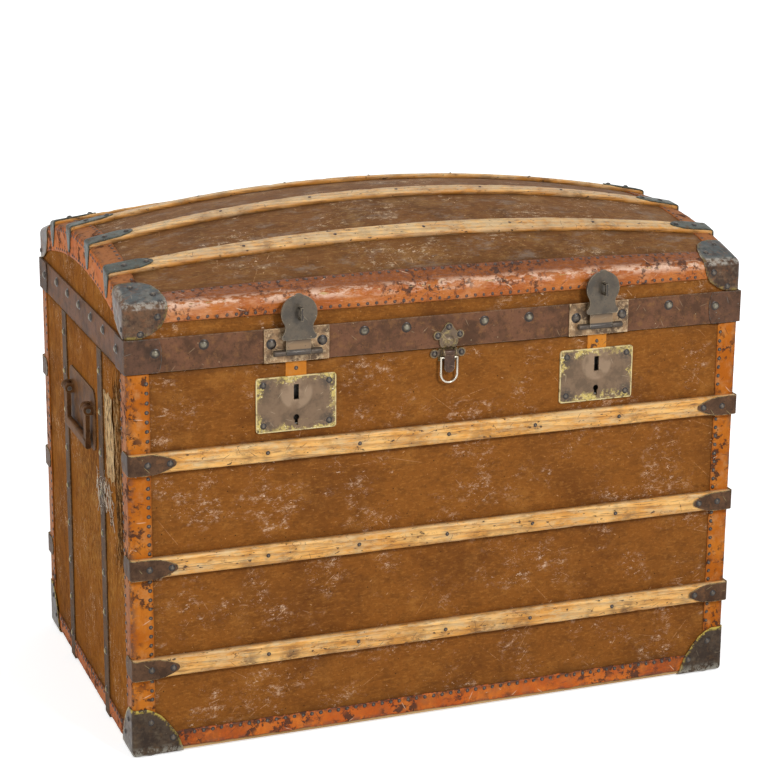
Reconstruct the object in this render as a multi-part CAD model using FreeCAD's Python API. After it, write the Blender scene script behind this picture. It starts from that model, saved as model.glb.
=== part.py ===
"""Dome top trunk: a wooden box and domed lid, covered in canvas and bound with
fibre, wooden slats and iron.

Millimetres. X runs along the trunk, Y from the front to the back, Z up.
The model is drawn about the middle of the box and moved by CENTRE_Y when it is
saved, so that the origin is the middle of the footprint, on the floor.
"""
import FreeCAD, Part
import math
import os

V = FreeCAD.Vector

# ---- driving dimensions ------------------------------------------------------
LENGTH = 860.0             # outside of the canvas, along X
DEPTH = 500.0              # outside of the canvas, along Y
GLIDE = 4.0                # height of the iron glides under the corners
BODY_HEIGHT = 515.0        # underside of the bottom board to the top of the walls
LID_WALL = 85.0            # straight part of the lid, from the joint to the front edge
RISE_END = 39.0            # rise of the arch over the two ends
RISE_MIDDLE = 87.0         # rise of the dome half way along
JOINT_GAP = 1.0            # between the walls of the body and of the lid

BOARD = 11.0               # thickness of the wall boards
BOTTOM_BOARD = 12.0
DOME_BOARD = 8.0
CANVAS = 1.0
LINING = 0.8
FIBRE = 1.5                # thickness of the fibre binding
FIBRE_WIDTH = 28.5         # each leg of the corner binding
IRON = 1.5                 # sheet iron of clamps, caps and corner pieces
BAND = 2.5                 # thickness of the iron band round the lid
BAND_HEIGHT = 44.0

SLAT_HEIGHT = 26.0
SLAT_THICK = 10.5
DOME_SLAT_THICK = 6.5
DOME_SLAT_WIDE = 22.0
SLAT_TOPS = (412.0, 272.5, 135.5)      # above the underside of the bottom board
DOME_SLATS_Y = (-160.0, -55.0, 55.0, 160.0)
CLAMP_REACH = 59.5         # from the corner to the tip of a clamp's tongue
CLAMP_SIDE = 36.0          # from the front of the slat to the end of the side leg
CLAMP_BEND = 6.0           # outer radius where a clamp turns the corner

LOCKS_X = (-209.0, 217.0)  # middles of the two locks and of their hasps
LOCK_Z = 459.5             # middle of a lock plate, above the bottom board's underside
HASP_AXIS_Z = 528.8        # hinge pin of a hasp, above the same underside
HASP_AXIS_OUT = 9.3        # hinge pin in front of the canvas
STAPLE_FROM_AXIS = 53.0    # middle of the staple from the pin
STAPLE_HEIGHT = 17.0
STAPLE_REACH = 12.0

STRAP_Y = 106.0            # iron straps on the two ends, each side of the middle
STRAP_WIDTH = 24.0
HANDLE_Z = 419.0           # handle pins, above the underside of the bottom board
HANDLE_ARM_Y = 57.0
HANDLE_OUT = 9.0
HANDLE_DROP = 48.0

LID_HINGE_X = 250.0
LID_HINGE_OUT = 8.0        # hinge pins behind the canvas of the back
STAY_ARM = 170.0           # the stay is a rhombus with the lid hinge at one corner
STAY_BELOW = 8.0           # degrees, from the hinge down to the pivot on the body
STAY_ABOVE = 12.0          # degrees, from the hinge up to the pivot on the lid
LID_OPENS = 100.0          # degrees

NAIL_PITCH = 12.5          # between the small nails of the fibre binding
NAIL_RADIUS = 2.2
NAIL_HEIGHT = 1.3

FRONT_REACH = HASP_AXIS_OUT + 6.0 + STAPLE_REACH     # the raised staples
BACK_REACH = SLAT_THICK + IRON + 2.2                 # the rivets of the back clamps
CENTRE_Y = (FRONT_REACH - BACK_REACH) / 2

# ---- places worked out from them ------------------------------------------------
HALF_L = LENGTH / 2
HALF_D = DEPTH / 2
BASE = GLIDE
BODY_TOP = BASE + BODY_HEIGHT
LID_BOTTOM = BODY_TOP + JOINT_GAP
EDGE_Z = LID_BOTTOM + LID_WALL
INNER = CANVAS + BOARD                 # canvas face to the inside of a board
FACE = INNER + LINING                  # canvas face to the face of the lining
LID_AXIS = V(0, HALF_D + LID_HINGE_OUT, BODY_TOP + JOINT_GAP / 2)


# ---- general helpers ----------------------------------------------------------
def box(x0, x1, y0, y1, z0, z1):
    corner = V(min(x0, x1), min(y0, y1), min(z0, z1))
    return Part.makeBox(abs(x1 - x0), abs(y1 - y0), abs(z1 - z0), corner)


def rod(start, along, radius):
    return Part.makeCylinder(radius, along.Length, start, along)


def fuse(parts):
    whole = parts[0]
    for part in parts[1:]:
        whole = whole.fuse(part)
    return whole.removeSplitter()


def mirror_x(shape):
    return shape.mirror(V(0, 0, 0), V(1, 0, 0))


def mirror_y(shape):
    return shape.mirror(V(0, 0, 0), V(0, 1, 0))


def both_ends(shapes):
    return shapes + [mirror_x(s) for s in shapes]


def four_corners(shapes):
    ends = both_ends(shapes)
    return ends + [mirror_y(s) for s in ends]


def prism(points, direction):
    """A solid from a closed outline: corner points, or (through, end) pairs for arcs."""
    edges = []
    here = points[0]
    for step in points[1:] + [points[0]]:
        if isinstance(step, tuple):
            edges.append(Part.Arc(here, step[0], step[1]).toShape())
            here = step[1]
        elif here.distanceToPoint(step) > 1e-6:
            edges.append(Part.LineSegment(here, step).toShape())
            here = step
    return Part.Face(Part.Wire(edges)).extrude(direction)


def dome_head(base, normal, radius, height):
    """The domed head of a rivet or nail, flat side at base."""
    ball = (radius ** 2 + height ** 2) / (2 * height)
    centre = base - normal * (ball - height)
    latitude = math.degrees(math.asin((ball - height) / ball))
    return Part.makeSphere(ball, centre, normal, latitude, 90, 360)


# ---- the dome --------------------------------------------------------------------
def dome_z(x, y):
    along = 1 - (x / HALF_L) ** 2
    across = 1 - (y / HALF_D) ** 2
    return EDGE_Z + across * (RISE_END + (RISE_MIDDLE - RISE_END) * along)


def dome_normal(x, y):
    rise = RISE_END + (RISE_MIDDLE - RISE_END) * (1 - (x / HALF_L) ** 2)
    slope_x = -2 * x / HALF_L ** 2 * (RISE_MIDDLE - RISE_END) * (1 - (y / HALF_D) ** 2)
    slope_y = -2 * y / HALF_D ** 2 * rise
    return V(-slope_x, -slope_y, 1).normalize()


def head_on_dome(x, y, lift, radius, height):
    """A rivet or nail head that sits square on a skin whose face is lift above the canvas."""
    return dome_head(V(x, y, dome_z(x, y) + lift), dome_normal(x, y), radius, height)


def end_arch_z(y):
    return dome_z(HALF_L, y)


def controls(first, middle, last):
    """Control values of the parabola through three evenly spaced values."""
    return first, 2 * middle - (first + last) / 2, last


def dome_face(x0, x1, y0, y1, lift):
    xs = (x0, (x0 + x1) / 2, x1)
    ys = (y0, (y0 + y1) / 2, y1)
    rows = [controls(*[dome_z(x, y) + lift for y in ys]) for x in xs]
    heights = [controls(*column) for column in zip(*rows)]
    surface = Part.BezierSurface()
    surface.increase(2, 2)
    for i in range(3):
        for j in range(3):
            surface.setPole(i + 1, j + 1, V(xs[i], ys[j], heights[j][i]))
    return surface.toShape()


def dome_sheet(x0, x1, y0, y1, lift, thick):
    """A bent board or sheet whose top lies lift above the canvas of the dome."""
    return dome_face(x0, x1, y0, y1, lift).extrude(V(0, 0, -thick))


def under_dome(x0, x1, y0, y1, lift, z0):
    """Everything from z0 up to the dome surface raised by lift."""
    block = dome_face(x0, x1, y0, y1, lift).extrude(V(0, 0, -400))
    return block.common(box(x0 - 1, x1 + 1, y0 - 1, y1 + 1, z0, z0 + 400))


# ---- the body ----------------------------------------------------------------------
def lock_mortise(x):
    return box(x - 46, x + 46, -HALF_D, -HALF_D + INNER, BASE + LOCK_Z - 29, BASE + LOCK_Z + 32)


def body_boards():
    z0 = BASE + BOTTOM_BOARD
    outer_x = HALF_L - CANVAS
    outer_y = HALF_D - CANVAS
    front = box(-outer_x, outer_x, -outer_y, -HALF_D + INNER, z0, BODY_TOP)
    for x in LOCKS_X:
        front = front.cut(lock_mortise(x))
    back = box(-outer_x, outer_x, HALF_D - INNER, outer_y, z0, BODY_TOP)
    end = box(-outer_x, -HALF_L + INNER, -HALF_D + INNER, HALF_D - INNER, z0, BODY_TOP)
    bottom = box(-outer_x, outer_x, -outer_y, outer_y, BASE, z0)
    return {"bottom_board": [bottom], "front_board": [front], "back_board": [back],
            "end_boards": both_ends([end])}


def body_canvas():
    """One wrap of canvas round the four walls, cut out behind the locks."""
    outside = box(-HALF_L, HALF_L, -HALF_D, HALF_D, BASE, BODY_TOP)
    inside = box(-HALF_L + CANVAS, HALF_L - CANVAS, -HALF_D + CANVAS, HALF_D - CANVAS, BASE, BODY_TOP)
    wrap = outside.cut(inside)
    for x in LOCKS_X:
        wrap = wrap.cut(lock_mortise(x))
    return {"body_canvas": [wrap]}


def body_lining():
    z0 = BASE + BOTTOM_BOARD
    outside = box(-HALF_L + INNER, HALF_L - INNER, -HALF_D + INNER, HALF_D - INNER, z0, BODY_TOP)
    inside = box(-HALF_L + FACE, HALF_L - FACE, -HALF_D + FACE, HALF_D - FACE, z0 + LINING, BODY_TOP)
    return {"body_lining": [outside.cut(inside)]}


def body_rim():
    """Thin wooden strips inside the mouth of the body, that stand up into the lid."""
    thick = 3.0
    z0 = BODY_TOP - 30
    z1 = BODY_TOP + 8
    x1 = HALF_L - FACE - 0.4
    y1 = HALF_D - FACE - 0.4
    front = box(-x1, x1, -y1, -y1 + thick, z0, z1)
    end = box(-x1, -x1 + thick, -y1 + thick, y1 - thick, z0, z1)
    return {"body_rim": [front, mirror_y(front)] + both_ends([end])}


def corner_fibre():
    """Angle strips of fibre down the four upright corners, with a rounded corner."""
    leg = box(-HALF_L - FIBRE, -HALF_L + FIBRE_WIDTH, -HALF_D - FIBRE, -HALF_D + FIBRE_WIDTH,
              BASE + 5, BODY_TOP)
    corner = [e for e in leg.Edges
              if abs(e.CenterOfMass.x + HALF_L + FIBRE) < 0.01 and abs(e.CenterOfMass.y + HALF_D + FIBRE) < 0.01]
    rounded = leg.makeFillet(2.0, corner)
    angle = rounded.cut(box(-HALF_L, 0, -HALF_D, 0, 0, BODY_TOP + 1))
    return {"corner_fibre": four_corners([angle])}


def side_straps():
    """Iron straps down the ends, that turn in under the bottom board."""
    x0 = -HALF_L - 1.8
    upright = box(x0, -HALF_L, STRAP_Y - STRAP_WIDTH / 2, STRAP_Y + STRAP_WIDTH / 2, BASE - 1.5, BODY_TOP - 1)
    foot = box(x0, -HALF_L + 45, STRAP_Y - STRAP_WIDTH / 2, STRAP_Y + STRAP_WIDTH / 2, BASE - 1.5, BASE)
    return {"side_straps": four_corners([fuse([upright, foot])])}


def bottom_fibre(straps):
    """Flat strips of fibre along the lower edges, notched where the straps cross."""
    z0 = BASE + 5
    z1 = BASE + 28
    x1 = HALF_L - FIBRE_WIDTH
    y1 = HALF_D - FIBRE_WIDTH
    front = box(-x1, x1, -HALF_D - FIBRE, -HALF_D, z0, z1)
    end = box(-HALF_L - FIBRE, -HALF_L, -y1, y1, z0, z1)
    for strap in straps:
        end = end.cut(strap)
    pieces = end.Solids
    return {"bottom_fibre": [front, mirror_y(front)] + both_ends(pieces)}


def slat(z_top):
    half = HALF_L + FIBRE
    bar = box(-half, half, -HALF_D - SLAT_THICK, -HALF_D, z_top - SLAT_HEIGHT, z_top)
    long_edges = [e for e in bar.Edges
                  if abs(e.CenterOfMass.y + HALF_D + SLAT_THICK) < 0.01 and e.Length > LENGTH]
    bar = bar.makeFillet(2.0, long_edges)
    plan = box(-half, half, -HALF_D - SLAT_THICK, 0, z_top - SLAT_HEIGHT - 1, z_top + 1)
    ends = [e for e in plan.Edges
            if abs(e.CenterOfMass.y + HALF_D + SLAT_THICK) < 0.01 and abs(abs(e.CenterOfMass.x) - half) < 0.01]
    return bar.common(plan.makeFillet(CLAMP_BEND - IRON, ends))


def slats(fibre):
    front = []
    for top in SLAT_TOPS:
        bar = slat(BASE + top)
        for angle in fibre:
            bar = bar.cut(angle)
        front.append(bar)
    return {"front_slats": front, "back_slats": [mirror_y(s) for s in front]}


def bent_strip(x0, y0, x1, y1, z0, z1):
    """Sheet iron bent round a corner at (x0, y0): one side runs to x1, the other to y1."""
    r = CLAMP_BEND
    slant = math.sqrt(0.5)
    turn = V(x0 + r, y0 + r, z0)
    outer = turn - V(slant, slant, 0) * r
    inner = turn - V(slant, slant, 0) * (r - IRON)
    return prism([V(x1, y0, z0), V(x0 + r, y0, z0), (outer, V(x0, y0 + r, z0)), V(x0, y1, z0),
                  V(x0 + IRON, y1, z0), V(x0 + IRON, y0 + r, z0), (inner, V(x0 + r, y0 + IRON, z0)),
                  V(x1, y0 + IRON, z0)], V(0, 0, z1 - z0))


def tongue_outline(x0, tip, half, place):
    """The outline of a clamp's tongue, which narrows to a small round tip."""
    return [place(x0, -half), place(tip - 38, -half),
            (place(tip - 18.5, -half * 0.81), place(tip - 4.5, -5.2)),
            (place(tip, 0), place(tip - 4.5, 5.2)),
            (place(tip - 18.5, half * 0.81), place(tip - 38, half)), place(x0, half)]


def clamp(z_top):
    """A bent iron clamp over a slat's left end: a narrowing tongue, and a leg on the end wall."""
    half = SLAT_HEIGHT / 2 + 0.5
    z = z_top - SLAT_HEIGHT / 2
    x0 = -HALF_L - FIBRE - IRON
    y0 = -HALF_D - SLAT_THICK - IRON
    y1 = y0 + IRON + CLAMP_SIDE
    tip = -HALF_L + CLAMP_REACH
    sheet = bent_strip(x0, y0, tip, y1, z - half, z + half)
    front = prism(tongue_outline(x0, tip, half, lambda x, up: V(x, y0, z + up)), V(0, 80, 0))
    end = prism([V(x0, y0, z - half), V(x0, y1 - 9, z - half),
                 (V(x0, y1, z), V(x0, y1 - 9, z + half)), V(x0, y0, z + half)], V(80, 0, 0))
    return sheet.common(front).common(end)


def slat_clamps():
    clamps = [clamp(BASE + top) for top in SLAT_TOPS]
    return {"slat_clamps": four_corners(clamps)}


def bottom_caps():
    """Three sided iron caps with quarter round outlines, and a flange under the board."""
    out = FIBRE + IRON
    low = BASE - IRON
    x0 = -HALF_L - out
    y0 = -HALF_D - out
    high = BASE + 65
    reach_x = -HALF_L + 66
    reach_y = -HALF_D + 54
    front = prism([V(x0, y0, low), V(reach_x, y0, low), V(reach_x - 5, y0, low + 14),
                   (V(reach_x - 20, y0, low + 43), V(x0 + 26, y0, high)), V(x0, y0, high)],
                  V(0, IRON, 0))
    end = prism([V(x0, y0, low), V(x0, reach_y, low), V(x0, reach_y - 4, low + 14),
                 (V(x0, reach_y - 17, low + 43), V(x0, y0 + 20, high)), V(x0, y0, high)],
                V(IRON, 0, 0))
    under = prism([V(x0, y0, low), V(reach_x, y0, low),
                   (V(reach_x - 17, reach_y - 17, low), V(x0, reach_y, low))], V(0, 0, IRON))
    return {"bottom_caps": four_corners([fuse([front, end, under])])}


def glides():
    pad = rod(V(-HALF_L + 22, -HALF_D + 20, 0), V(0, 0, BASE - IRON), 16)
    return {"glides": four_corners([pad])}


# ---- locks ------------------------------------------------------------------------
def keyhole(x, z):
    face = -HALF_D - 5
    barrel = rod(V(x, face, z), V(0, 20, 0), 4.0)
    slit = box(x - 2.3, x + 2.3, face, face + 20, z - 10.5, z)
    return barrel.fuse(slit)


def staple_slot(x):
    axis = BASE + HASP_AXIS_Z
    far = STAPLE_FROM_AXIS + STAPLE_HEIGHT / 2 + 2.9
    near = STAPLE_FROM_AXIS - STAPLE_HEIGHT / 2 - 0.4
    return box(x - 3.5, x + 3.5, -HALF_D - 5, -HALF_D + 15, axis - far, axis - near)


def lock_plates():
    plates = []
    for x in LOCKS_X:
        z = BASE + LOCK_Z
        plate = box(x - 54, x + 54, -HALF_D - 2.5, -HALF_D, z - 36.5, z + 36.5)
        corners = [e for e in plate.Edges if abs(e.CenterOfMass.y + HALF_D + 1.25) < 0.01]
        plate = plate.makeFillet(4.0, corners)
        plate = plate.cut(staple_slot(x)).cut(keyhole(x, z - 19))
        plates.append(plate)
    return {"lock_plates": plates}


def lock_cases():
    """Shallow steel boxes let into the front board, open to the plate, with bolt guides."""
    cases = []
    for x in LOCKS_X:
        z = BASE + LOCK_Z
        outside = box(x - 45.5, x + 45.5, -HALF_D, -HALF_D + 11.5, z - 28.5, z + 31.5)
        inside = box(x - 44, x + 44, -HALF_D, -HALF_D + 10, z - 27, z + 30)
        bolt_z = BASE + HASP_AXIS_Z - STAPLE_FROM_AXIS
        above = box(x + 12, x + 44, -HALF_D, -HALF_D + 10, bolt_z + 4.3, bolt_z + 6.3)
        below = box(x + 12, x + 44, -HALF_D, -HALF_D + 10, bolt_z - 6.3, bolt_z - 4.3)
        shelf = box(x + 12, x + 44, -HALF_D + 5.6, -HALF_D + 10, bolt_z - 4.3, bolt_z + 4.3)
        cases.append(fuse([outside.cut(inside), above, below, shelf]))
    return {"lock_cases": cases}


def bolt(x):
    bolt_z = BASE + HASP_AXIS_Z - STAPLE_FROM_AXIS
    return box(x + 4, x + 33, -HALF_D + 0.8, -HALF_D + 5.2, bolt_z - 4, bolt_z + 4)


def lock_tabs():
    """Short fibre tabs nailed between each lock plate and the joint."""
    z0 = BASE + LOCK_Z + 36.5
    tabs = [box(x - 14, x + 14, -HALF_D - FIBRE, -HALF_D, z0, BODY_TOP) for x in LOCKS_X]
    return {"lock_tabs": tabs}


# ---- side handles --------------------------------------------------------------------
def handle_plate():
    z = BASE + HANDLE_Z
    plate = box(-HALF_L - 2, -HALF_L, -76, 76, z - 57, z + 28)
    corners = [e for e in plate.Edges if abs(e.CenterOfMass.x + HALF_L + 1) < 0.01]
    plate = plate.makeFillet(14.0, corners)
    parts = [plate]
    for y in (-HANDLE_ARM_Y, HANDLE_ARM_Y):
        for side in (-1, 1):
            y0 = y + side * 6.5
            y1 = y + side * 12.5
            length = V(0, y1 - y0, 0)
            parts.append(rod(V(-HALF_L - HANDLE_OUT, y0, z), length, 6.5))
            parts.append(box(-HALF_L - HANDLE_OUT, -HALF_L, y0, y1, z - 6.5, z + 6.5))
    plate = fuse(parts)
    for y in (-HANDLE_ARM_Y, HANDLE_ARM_Y):
        hole = rod(V(-HALF_L - HANDLE_OUT, y - 13, z), V(0, 26, 0), 3.0)
        plate = plate.cut(hole)
    return plate


def handle_pin(y):
    return rod(V(-HALF_L - HANDLE_OUT, y - 12.5, BASE + HANDLE_Z), V(0, 25, 0), 3.0)


def handle():
    """A drop handle: two flat arms with eyes, and a thicker grip."""
    z = BASE + HANDLE_Z
    x = -HALF_L - HANDLE_OUT
    parts = []
    for y in (-HANDLE_ARM_Y, HANDLE_ARM_Y):
        parts.append(rod(V(x, y - 6, z), V(0, 12, 0), 5.8))
        parts.append(box(x - 3, x + 3, y - 6, y + 6, z - HANDLE_DROP, z))
    grip = box(x - 4, x + 4, -HANDLE_ARM_Y - 6, HANDLE_ARM_Y + 6, z - HANDLE_DROP - 7, z - HANDLE_DROP + 7)
    long_edges = [e for e in grip.Edges if e.Length > 100]
    parts.append(grip.makeFillet(3.0, long_edges))
    whole = fuse(parts)
    for y in (-HANDLE_ARM_Y, HANDLE_ARM_Y):
        whole = whole.cut(rod(V(x, y - 7, z), V(0, 14, 0), 3.05))
    return whole


# ---- rivets on the body -------------------------------------------------------------
def clamp_rivet_places():
    """Distances of a clamp's two rivets from the corner."""
    return (22.0, 51.0)


def body_rivets():
    heads = []
    front = -HALF_D - SLAT_THICK - IRON
    for top in SLAT_TOPS:
        z = BASE + top - SLAT_HEIGHT / 2
        for along in clamp_rivet_places():
            heads.append(dome_head(V(-HALF_L + along, front, z), V(0, -1, 0), 3.6, 2.2))
    cap_out = FIBRE + IRON
    for along, up in ((22, 46), (51, 21)):
        heads.append(dome_head(V(-HALF_L + along, -HALF_D - cap_out, BASE + up), V(0, -1, 0), 3.6, 2.0))
    heads.append(dome_head(V(-HALF_L - cap_out, -HALF_D + 18, BASE + 46), V(-1, 0, 0), 3.6, 2.0))
    heads.append(dome_head(V(-HALF_L - cap_out, -HALF_D + 36, BASE + 21), V(-1, 0, 0), 3.6, 2.0))
    for i in range(9):
        z = BASE + 35 + i * 56.1
        heads.append(dome_head(V(-HALF_L - 1.8, STRAP_Y, z), V(-1, 0, 0), 4.5, 2.6))
    screws = [dome_head(V(x + across, -HALF_D - 2.5, BASE + LOCK_Z + up), V(0, -1, 0), 3.4, 1.2)
              for x in LOCKS_X for across in (-44.5, 44.5) for up in (-27, 27)]
    latch = [dome_head(V(side * 19, -HALF_D - 2.5, BASE + LATCH_PIN_Z - 2), V(0, -1, 0), 3.2, 2.0)
             for side in (-1, 1)]
    return {"body_rivets": four_corners(heads) + screws + latch}


# ---- the draw latch in the middle ---------------------------------------------------
LATCH_PIN_Z = 510.0        # above the underside of the bottom board
LATCH_OUT = 7.0
BAIL_PIVOT = 7.0           # below the lever's pin
BAIL_HALF = 11.5
BAIL_DROP = 33.5           # pivot to the lowest point of the wire's centre line
WIRE = 1.5                 # radius of the bail's wire


def latch_base():
    """Plate on the body with two round ears for rivets and two cheeks for the lever."""
    z = BASE + LATCH_PIN_Z
    back = -HALF_D
    plate = box(-13, 13, back - 2.5, back, z - 12, z + 4.5)
    parts = [plate]
    for side in (-1, 1):
        parts.append(rod(V(side * 19, back, z - 2), V(0, -2.5, 0), 5.8))
        parts.append(box(side * 12, side * 19, back - 2.5, back, z - 6, z + 2))
        x0 = side * 7.5
        x1 = side * 9.5
        parts.append(rod(V(x0, back - LATCH_OUT, z), V(x1 - x0, 0, 0), 4.5))
        parts.append(box(x0, x1, back - LATCH_OUT, back, z - 4.5, z + 4.5))
    whole = fuse(parts)
    return whole.cut(rod(V(-10, back - LATCH_OUT, z), V(20, 0, 0), 1.5))


def latch_pin():
    return rod(V(-9.5, -HALF_D - LATCH_OUT, BASE + LATCH_PIN_Z), V(19, 0, 0), 1.5)


def latch_lever():
    """A round ended tongue with a knuckle, drilled across for the bail."""
    z = BASE + LATCH_PIN_Z
    y = -HALF_D - LATCH_OUT
    tongue = prism([V(-7, y - 2, z), V(-7, y - 2, z - 20),
                    (V(0, y - 2, z - 27), V(7, y - 2, z - 20)), V(7, y - 2, z)], V(0, 4, 0))
    knuckle = rod(V(-7, y, z), V(14, 0, 0), 3.8)
    whole = fuse([tongue, knuckle])
    whole = whole.cut(rod(V(-8, y, z), V(16, 0, 0), 1.55))
    return whole.cut(rod(V(-8, y, z - BAIL_PIVOT), V(16, 0, 0), 1.3))


def latch_bail():
    """A wire loop whose two ends turn in and run in the lever."""
    z = BASE + LATCH_PIN_Z - BAIL_PIVOT
    y = -HALF_D - LATCH_OUT
    bend = z - BAIL_DROP + BAIL_HALF
    path = Part.Wire([
        Part.LineSegment(V(-BAIL_HALF, y, z), V(-BAIL_HALF, y, bend)).toShape(),
        Part.Arc(V(-BAIL_HALF, y, bend), V(0, y, z - BAIL_DROP), V(BAIL_HALF, y, bend)).toShape(),
        Part.LineSegment(V(BAIL_HALF, y, bend), V(BAIL_HALF, y, z)).toShape()])
    section = Part.Wire([Part.Circle(V(-BAIL_HALF, y, z), V(0, 0, 1), WIRE).toShape()])
    loop = path.makePipeShell([section], True, False)
    ends = []
    for side in (-1, 1):
        ends.append(Part.makeSphere(WIRE, V(side * BAIL_HALF, y, z)))
        ends.append(rod(V(side * BAIL_HALF, y, z), V(-side * (BAIL_HALF - 4), 0, 0), 1.25))
    return fuse([loop] + ends)


def latch_catch():
    """Plate on the lid's band with three round ears, and a domed boss that the bail drops over."""
    front = -HALF_D - BAND
    boss_z = BASE + 524
    top = boss_z + 19.5
    parts = [rod(V(0, front, boss_z + 1), V(0, -2.5, 0), 13)]
    for x, z in ((0, top), (-15.5, boss_z + 9), (15.5, boss_z + 9)):
        parts.append(rod(V(x, front, z), V(0, -2.5, 0), 5.8))
    parts.append(prism([V(-4.6, front, top + 2), V(4.6, front, top + 2), V(13, front, boss_z + 11),
                        V(11, front, boss_z - 6), V(-11, front, boss_z - 6), V(-13, front, boss_z + 11)],
                       V(0, -2.5, 0)))
    plate = fuse(parts).common(box(-40, 40, front - 10, front, LID_BOTTOM + 0.5, top + 10))
    boss = dome_head(V(0, front - 2.5, boss_z), V(0, -1, 0), 8.8, 4.2)
    knob = rod(V(0, front - 5.5, boss_z), V(0, -2.4, 0), 3.4)
    return fuse([plate, boss, knob])


def latch_rivets():
    """Rivets of the catch, which ride on the lid."""
    face = -HALF_D - BAND - 2.5
    boss_z = BASE + 524
    places = ((0, boss_z + 19.5), (-15.5, boss_z + 9), (15.5, boss_z + 9))
    return [dome_head(V(x, face, z), V(0, -1, 0), 3.2, 2.0) for x, z in places]


# ---- the lid -----------------------------------------------------------------------
def lid_boards():
    lift = -CANVAS - DOME_BOARD
    x1 = HALF_L - CANVAS
    y1 = HALF_D - CANVAS
    front = under_dome(-x1, x1, -y1, -HALF_D + INNER, lift, LID_BOTTOM)
    end = under_dome(-x1, -HALF_L + INNER, -HALF_D + INNER, HALF_D - INNER, lift, LID_BOTTOM)
    dome = dome_sheet(-x1, x1, -y1, y1, -CANVAS, DOME_BOARD)
    return {"lid_front_board": [front], "lid_back_board": [mirror_y(front)],
            "lid_end_boards": both_ends([end]), "dome_board": [dome]}


def lid_canvas():
    outside = under_dome(-HALF_L, HALF_L, -HALF_D, HALF_D, 0, LID_BOTTOM)
    x1 = HALF_L - CANVAS
    y1 = HALF_D - CANVAS
    inside = under_dome(-x1, x1, -y1, y1, -CANVAS, LID_BOTTOM)
    return {"lid_canvas": [outside.cut(inside)]}


def lid_lining():
    lift = -CANVAS - DOME_BOARD
    x1 = HALF_L - INNER
    y1 = HALF_D - INNER
    outside = under_dome(-x1, x1, -y1, y1, lift, LID_BOTTOM)
    x2 = HALF_L - FACE
    y2 = HALF_D - FACE
    inside = under_dome(-x2, x2, -y2, y2, lift - LINING, LID_BOTTOM)
    return {"lid_lining": [outside.cut(inside)]}


def lid_edge_fibre():
    """Angle strips of fibre over the front and back edges of the dome."""
    x1 = HALF_L - FIBRE_WIDTH
    drop = 22.0
    over = 26.0
    y0 = -HALF_D - FIBRE
    face = box(-x1, x1, y0, -HALF_D, EDGE_Z - drop, EDGE_Z)
    top = dome_sheet(-x1, x1, y0, -HALF_D + over, FIBRE, FIBRE)
    strip = fuse([face, top])
    return {"lid_edge_fibre": [strip, mirror_y(strip)]}


def end_panel(x0, x1, top_lift, drop):
    """An upright sheet on the lid's end, between two arches drop apart."""
    y1 = HALF_D
    top = [V(x0, -y1, EDGE_Z + top_lift), V(x0, y1, EDGE_Z + top_lift)]
    crest = V(x0, 0, end_arch_z(0) + top_lift)
    low = [p - V(0, 0, drop) for p in top]
    low_crest = crest - V(0, 0, drop)
    edges = [Part.Arc(top[0], crest, top[1]).toShape(),
             Part.LineSegment(top[1], low[1]).toShape(),
             Part.Arc(low[1], low_crest, low[0]).toShape(),
             Part.LineSegment(low[0], top[0]).toShape()]
    return Part.Face(Part.Wire(edges)).extrude(V(x1 - x0, 0, 0))


def lid_end_fibre():
    """Angle strips of fibre over the two arched ends of the dome."""
    x0 = -HALF_L - FIBRE
    x1 = -HALF_L + FIBRE_WIDTH
    top = dome_sheet(x0, x1, -HALF_D, HALF_D, FIBRE, FIBRE)
    side = end_panel(x0, -HALF_L, 0, 36)
    allowed = under_dome(x0, x1, -HALF_D, HALF_D, FIBRE, LID_BOTTOM)
    strip = fuse([top, side.common(allowed)])
    return {"lid_end_fibre": both_ends([strip])}


def lid_slats(fibre):
    half = HALF_L + FIBRE
    bars = []
    for y in DOME_SLATS_Y:
        bar = dome_sheet(-half, half, y - DOME_SLAT_WIDE / 2, y + DOME_SLAT_WIDE / 2,
                         DOME_SLAT_THICK, DOME_SLAT_THICK)
        for strip in fibre:
            bar = bar.cut(strip)
        bars.append(bar)
    return {"lid_slats": bars}


def lid_clamp(y):
    """A clamp over a dome slat's left end: a round tongue and a leg that narrows to a point."""
    half = DOME_SLAT_WIDE / 2 + 0.5
    x0 = -HALF_L - FIBRE - IRON
    tip = -HALF_L + CLAMP_REACH
    outline = prism(tongue_outline(x0, tip, half, lambda x, aside: V(x, y + aside, EDGE_Z)), V(0, 0, 200))
    lift = DOME_SLAT_THICK + IRON
    tongue = dome_sheet(x0, tip + 1, y - half, y + half, lift, IRON).common(outline)
    crown = end_arch_z(y) + lift
    leg = prism([V(x0, y - half, crown + 12), V(x0, y - half, crown - 13),
                 V(x0, y - 4, crown - 35), (V(x0, y, crown - 38), V(x0, y + 4, crown - 35)),
                 V(x0, y + half, crown - 13), V(x0, y + half, crown + 12)], V(IRON, 0, 0))
    leg = leg.common(under_dome(x0, x0 + IRON, y - half, y + half, lift, EDGE_Z - 60))
    return fuse([tongue, leg])


def lid_slat_clamps():
    return {"lid_slat_clamps": both_ends([lid_clamp(y) for y in DOME_SLATS_Y])}


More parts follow.
